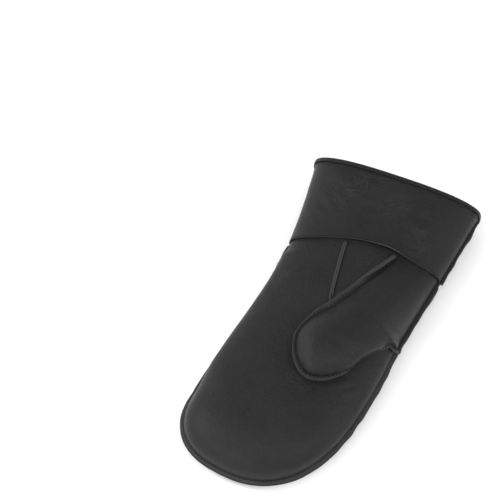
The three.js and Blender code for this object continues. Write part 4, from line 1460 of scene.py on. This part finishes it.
def stitch_row(name, runs, pitch=STITCH_PITCH, length=STITCH_LENGTH, thread=THREAD):
    """Stitches along runs of points, each with the way out of the leather there."""
    points = []
    faces = []
    dice = random.Random(name)
    for run in runs:
        places = np.array([tuple(p) for p, _ in run])
        ways = np.array([tuple(n) for _, n in run])
        far = np.concatenate([[0], np.cumsum(np.linalg.norm(np.diff(places, axis=0), axis=1))])
        at = pitch / 2
        while at < far[-1]:
            spot = at + dice.uniform(-STITCH_SHIFT, STITCH_SHIFT) * pitch
            middle, before, after = (
                np.array([np.interp(spot + d, far, places[:, k]) for k in range(3)])
                for d in (0, -length / 2, length / 2)
            )
            up = np.array([np.interp(spot, far, ways[:, k]) for k in range(3)])
            run_way = after - before
            run_way /= np.linalg.norm(run_way)
            up -= run_way * (up @ run_way)
            up /= np.linalg.norm(up)
            side = np.cross(up, run_way)
            offset = len(points)
            for x, y, z in STITCH_POINTS:
                points.append(middle + run_way * x * length + side * y * thread + up * z * thread)
            faces += [tuple(offset + i for i in face) for face in STITCH_FACES]
            at += pitch
    mesh = bpy.data.meshes.new(name)
    mesh.from_pydata([tuple(p) for p in points], [], faces)
    mesh.transform(Matrix.Scale(MM, 4) @ Matrix.Translation(SHIFT))
    mesh.materials.append(THREAD_FINISH)
    piece = link(name, mesh)
    select_only(piece)
    bpy.ops.object.shade_smooth()
    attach(piece, "root")


UP = Vector((0, 0, 1))
EDGE_STITCH = 0.22  # share of the sewn edge's width at which it is stitched
RIDGE_STITCH = 0.28  # and of a standing seam's height


def edge_run(side, rows, face):
    """A run along the hand's sewn edge, on its upper or lower leather."""
    run = []
    for v in rows:
        x = side(v)
        z = edge_height(v) + face * SEAM_HALF
        root = Vector((x, along(v, x, face > 0), z))
        run.append((root.lerp(sewn_edge(root, side, v), EDGE_STITCH), UP * face))
    return run


def flank_run(frame_at, rows, face):
    """A run along one side of a standing seam: face 1 on the skin on top, -1 on the other."""
    run = []
    for v in rows:
        foot, edge, across = frame_at(v)
        up = edge * RIDGE * RIDGE_STITCH
        run.append((foot + across * face * SEAM_HALF + up, across * face))
    return run


def up_to(end, start=0):
    return [v for v in hand_rows() if start <= v <= end]


def from_to(start, end):
    return [start] + spaced(start, end, FINE_STEP)


# Where the rows start and end
EDGE_END = HAND_LENGTH - 3
PALM_EDGE_END = THUMB_ROOT - 3
THUMB_EDGE_END = THUMB_ROOT - 2
HEEL_START = THUMB_ROOT + 1
WRIST_START = THUMB_ROOT + 3
GUSSET_STARTS = {-1: GUSSET_TIP + 1, 1: GUSSET_TIP + 4}
BACK_START = 8

heel = from_to(HEEL_START, EDGE_END)
finger_side = up_to(EDGE_END)[::-1]
stitch_row(
    "stitches_palm_edge",
    [edge_run(hand_left, finger_side, 1) + edge_run(hand_right, up_to(PALM_EDGE_END), 1)[1:]],
    thread=EDGE_THREAD,
)
stitch_row(
    "stitches_back_edge",
    [edge_run(hand_left, finger_side, -1) + edge_run(hand_right, up_to(EDGE_END), -1)[1:]],
    thread=EDGE_THREAD,
)
stitch_row(
    "stitches_gusset_seam",
    [
        flank_run(gusset_frame, from_to(start, EDGE_END), face)
        for face, start in GUSSET_STARTS.items()
    ],
)
thumb_tip = thumb_tip_rows()
thumb_free = thumb_tip + spaced(thumb_tip[-1], THUMB_EDGE_END, FINE_STEP)
stitch_row(
    "stitches_thumb_seam",
    [
        flank_run(thumb_seam, heel, -1),
        flank_run(thumb_seam, (thumb_free + heel)[::-1], 1)
        + flank_run(thumb_right_seam, thumb_free, 1)[1:],
    ],
)
wrist = [v for v in heel if v > WRIST_START]
stitch_row(
    "stitches_thumb_side_edge",
    [[(p + e * SEAM_EDGE * EDGE_STITCH, UP) for p, e, _ in map(thumb_right_seam, wrist)]],
    thread=EDGE_THREAD,
)


def back_seam_run(sign):
    run = []
    for v in up_to(EDGE_END, BACK_START):
        x = back_seam(v) + sign * SEAM_HALF
        z = back_height(v, x) - BACK_RIDGE * edge_share(v) / 2
        run.append((Vector((x, along(v, x, False), z)), Vector((sign, 0, 0))))
    return run


stitch_row("stitches_back_seam", [back_seam_run(-1), back_seam_run(1)])


CUFF_RUN_POINTS = 120
NEARBY = 0.01
# Turns of the cuff that its rows of stitches cover, clear of the side seam
OVER_PALM = (0.02, 0.995)
UNDER_HAND = (1.005, 1.98)


def cuff_run(c, first, last):
    """A run round the cuff at one depth, from one turn to another."""

    def at(depth, turn):
        return cuff_point(clamp(depth), min(2, max(0, turn)), 0, SEAM_HALF)

    run = []
    for t in steps(CUFF_RUN_POINTS):
        turn = lerp(first, last, t)
        p = at(c, turn)
        round_it = at(c, turn + NEARBY) - at(c, turn - NEARBY)
        along_it = at(c + NEARBY, turn) - at(c - NEARBY, turn)
        way = round_it.cross(along_it).normalized()
        outwards = p - Vector((0, p.y, CUFF_EDGE_HEIGHT))
        run.append((p, way if way.dot(outwards) > 0 else -way))
    return run


# The cuff's rows: how far from the binding and from the hem, and their places as shares of its
# depth
BINDING_STITCH_AWAY = 0.9
HEM_STITCH_AWAY = 1.0
BINDING_STITCH = 1 - (BINDING_OUTSIDE + BINDING_STITCH_AWAY) / CUFF_DEPTH
HEM_STITCH = HEM_STITCH_AWAY / CUFF_DEPTH
SIDE_STITCH_END = BINDING_STITCH - 0.04
SIDE_ROWS = 40
stitch_row(
    "stitches_binding",
    [cuff_run(BINDING_STITCH, *OVER_PALM), cuff_run(BINDING_STITCH, *UNDER_HAND)],
    BINDING_STITCH_PITCH,
    BINDING_STITCH_LENGTH,
)
hem = [cuff_run(HEM_STITCH, *OVER_PALM)]
stitch_row("stitches_cuff_hem", hem, HEM_STITCH_PITCH, thread=HEM_THREAD)


def cuff_side_run(face):
    run = []
    for c in steps(SIDE_ROWS):
        if c < SIDE_STITCH_END:
            out = Vector((SEAM_EDGE * cuff_edge_share(c) * EDGE_STITCH, 0, 0))
            run.append((cuff_point(c, 1 - face, 0, SEAM_HALF) + out, UP * face))
    return run


stitch_row("stitches_cuff_side", [cuff_side_run(1), cuff_side_run(-1)])

# Wool
WOOL_CLEAR = 0.6  # the pile is drawn in from the leather, so that it shows nowhere at a seam
SAME_POINT = 1e-6


def wool_piece(name, node, voxel):
    """The pile's own form, from a merged copy of its solid."""
    copy = frame["nodes"][node].copy()
    copy.data = copy.data.copy()
    copy.name = name
    bpy.context.scene.collection.objects.link(copy)
    for key in list(copy.keys()):
        del copy[key]
    select_only(copy)
    copy.data.materials.clear()
    shape = bmesh.new()
    shape.from_mesh(copy.data)
    bmesh.ops.remove_doubles(shape, verts=shape.verts, dist=SAME_POINT)
    shape.to_mesh(copy.data)
    shape.free()
    copy.data.remesh_voxel_size = voxel * MM
    bpy.ops.object.voxel_remesh()
    drawn_in = [v.co - v.normal * WOOL_CLEAR * MM for v in copy.data.vertices]
    for vertex, place in zip(copy.data.vertices, drawn_in):
        vertex.co = place
    copy.hide_render = False
    copy.hide_viewport = False
    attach(copy, "root")
    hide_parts(node)
    return copy


# A tuft: height and width of its rings, and how its size, height and lean differ
TUFT_SIDES = 5
TUFT_RINGS = ((-1.0, 1.15), (0.6, 1.0), (1.5, 0.72), (2.0, 0.3))
TUFT_TOP = 2.2
TUFT_SIZES = (0.75, 1.25)
TUFT_HEIGHTS = (0.75, 1.15)
TUFT_WOBBLES = (0.8, 1.2)
TUFT_LEAN = 0.55
TUFT_SCATTER = 0.25
LEAN_PATCH = 9
STEEP = 0.8
TUFT_CLEAR = 2.5
TUFT_POINTS = len(TUFT_RINGS) * TUFT_SIDES + 1


def tuft_faces():
    """Corners of one tuft's faces, with its own points counted from 0, ring by ring."""
    faces = []
    last = len(TUFT_RINGS) - 1
    for r in range(last + 1):
        for k in range(TUFT_SIDES):
            p = r * TUFT_SIDES + k
            q = r * TUFT_SIDES + (k + 1) % TUFT_SIDES
            above = (q + TUFT_SIDES, p + TUFT_SIDES) if r < last else (TUFT_POINTS - 1,)
            faces.append((p, q, *above))
    faces.append(tuple(range(TUFT_SIDES - 1, -1, -1)))
    return faces


def fleece(piece, keep, spacing, seed):
    """Grows blunt sheared tufts on the faces of the pile that keep() picks, in the same mesh."""
    mesh = piece.data
    dice = np.random.default_rng(seed)
    mesh.calc_loop_triangles()
    places = np.zeros(len(mesh.vertices) * 3)
    mesh.vertices.foreach_get("co", places)
    places = places.reshape(-1, 3) / MM
    corners = np.array([tri.vertices for tri in mesh.loop_triangles])
    a, b, c = (places[corners[:, k]] for k in range(3))
    normals = np.cross(b - a, c - a)
    areas = np.linalg.norm(normals, axis=1) / 2
    normals /= np.maximum(2 * areas[:, None], TINY)
    chosen = keep((a + b + c) / 3 - np.array(SHIFT), normals)
    weights = areas * chosen
    count = int(weights.sum() / spacing**2)
    picked = dice.choice(len(weights), count, p=weights / weights.sum())
    u = dice.random((count, 1))
    v = dice.random((count, 1))
    u, v = np.where(u + v > 1, 1 - u, u), np.where(u + v > 1, 1 - v, v)
    roots = a[picked] + u * (b[picked] - a[picked]) + v * (c[picked] - a[picked])
    ups = normals[picked]
    lean = np.array([tuple(noise.noise_vector(Vector(p) / LEAN_PATCH)) for p in roots])
    ways = ups + TUFT_LEAN * lean + TUFT_SCATTER * dice.normal(size=(count, 3))
    ways /= np.linalg.norm(ways, axis=1, keepdims=True)
    helper = np.where(np.abs(ways[:, :1]) < STEEP, [[1.0, 0, 0]], [[0, 1.0, 0]])
    side = np.cross(ways, helper)
    side /= np.linalg.norm(side, axis=1, keepdims=True)
    other = np.cross(ways, side)
    size = dice.uniform(*TUFT_SIZES, (count, 1))
    tall = dice.uniform(*TUFT_HEIGHTS, (count, 1))
    points = []
    for up, radius in TUFT_RINGS:
        for k in range(TUFT_SIDES):
            angle = math.tau * k / TUFT_SIDES
            wobble = dice.uniform(*TUFT_WOBBLES, (count, 1))
            reach = radius * size * wobble
            ring = side * math.cos(angle) + other * math.sin(angle)
            points.append(roots + ways * up * tall + ring * reach)
    points.append(roots + ways * TUFT_TOP * tall)
    points = np.stack(points, axis=1).reshape(-1, 3)
    pattern = tuft_faces()
    base = len(mesh.vertices)
    faces = [tuple(face.vertices) for face in mesh.polygons]
    for t in range(count):
        first = base + t * TUFT_POINTS
        faces += [tuple(first + i for i in face) for face in pattern]
    made = bpy.data.meshes.new(piece.name)
    made.from_pydata([*map(tuple, places * MM), *map(tuple, points * MM)], [], faces)
    made.materials.append(WOOL_FINISH)
    piece.data = made
    select_only(piece)
    bpy.ops.object.shade_smooth()


def inside_hollow(centres, normals, middle):
    """True where a face of the pile looks into the hollow, clear of the binding's inner flap."""
    towards = np.array(middle)[None] - centres
    towards[:, 1] = 0
    mouth = HAND_LENGTH + CUFF_DEPTH + MOUTH_SLANT * centres[:, 0] / CUFF_WIDTH
    clear = centres[:, 1] < mouth - BINDING_INSIDE - TUFT_CLEAR
    return ((normals * towards).sum(1) > 0) & clear


# Voxels of the two piles, the middles of their hollows, and the spacing and seeds of their tufts
HAND_VOXEL = 2.6
CUFF_VOXEL = 1.8
HAND_MIDDLE = (5, 0, 21)
CUFF_MIDDLE = (0, 0, 24)
HAND_SPACING = 2.4
CUFF_SPACING = 2.1
CUFF_SEED = 11
HAND_SEED = 12
SEEN_FROM = 128  # the hand's pile is seen only past this place, and below the thumb's room
SEEN_BELOW = 40


def in_cuff(centres, normals):
    return inside_hollow(centres, normals, CUFF_MIDDLE)


def in_hand(centres, normals):
    seen = (centres[:, 1] > SEEN_FROM) & (centres[:, 2] < SEEN_BELOW)
    return inside_hollow(centres, normals, HAND_MIDDLE) & seen


hand_pile = wool_piece("hand_pile", "hand_wool", HAND_VOXEL)
cuff_pile = wool_piece("cuff_pile", "cuff_wool", CUFF_VOXEL)
fleece(cuff_pile, in_cuff, CUFF_SPACING, CUFF_SEED)
fleece(hand_pile, in_hand, HAND_SPACING, HAND_SEED)
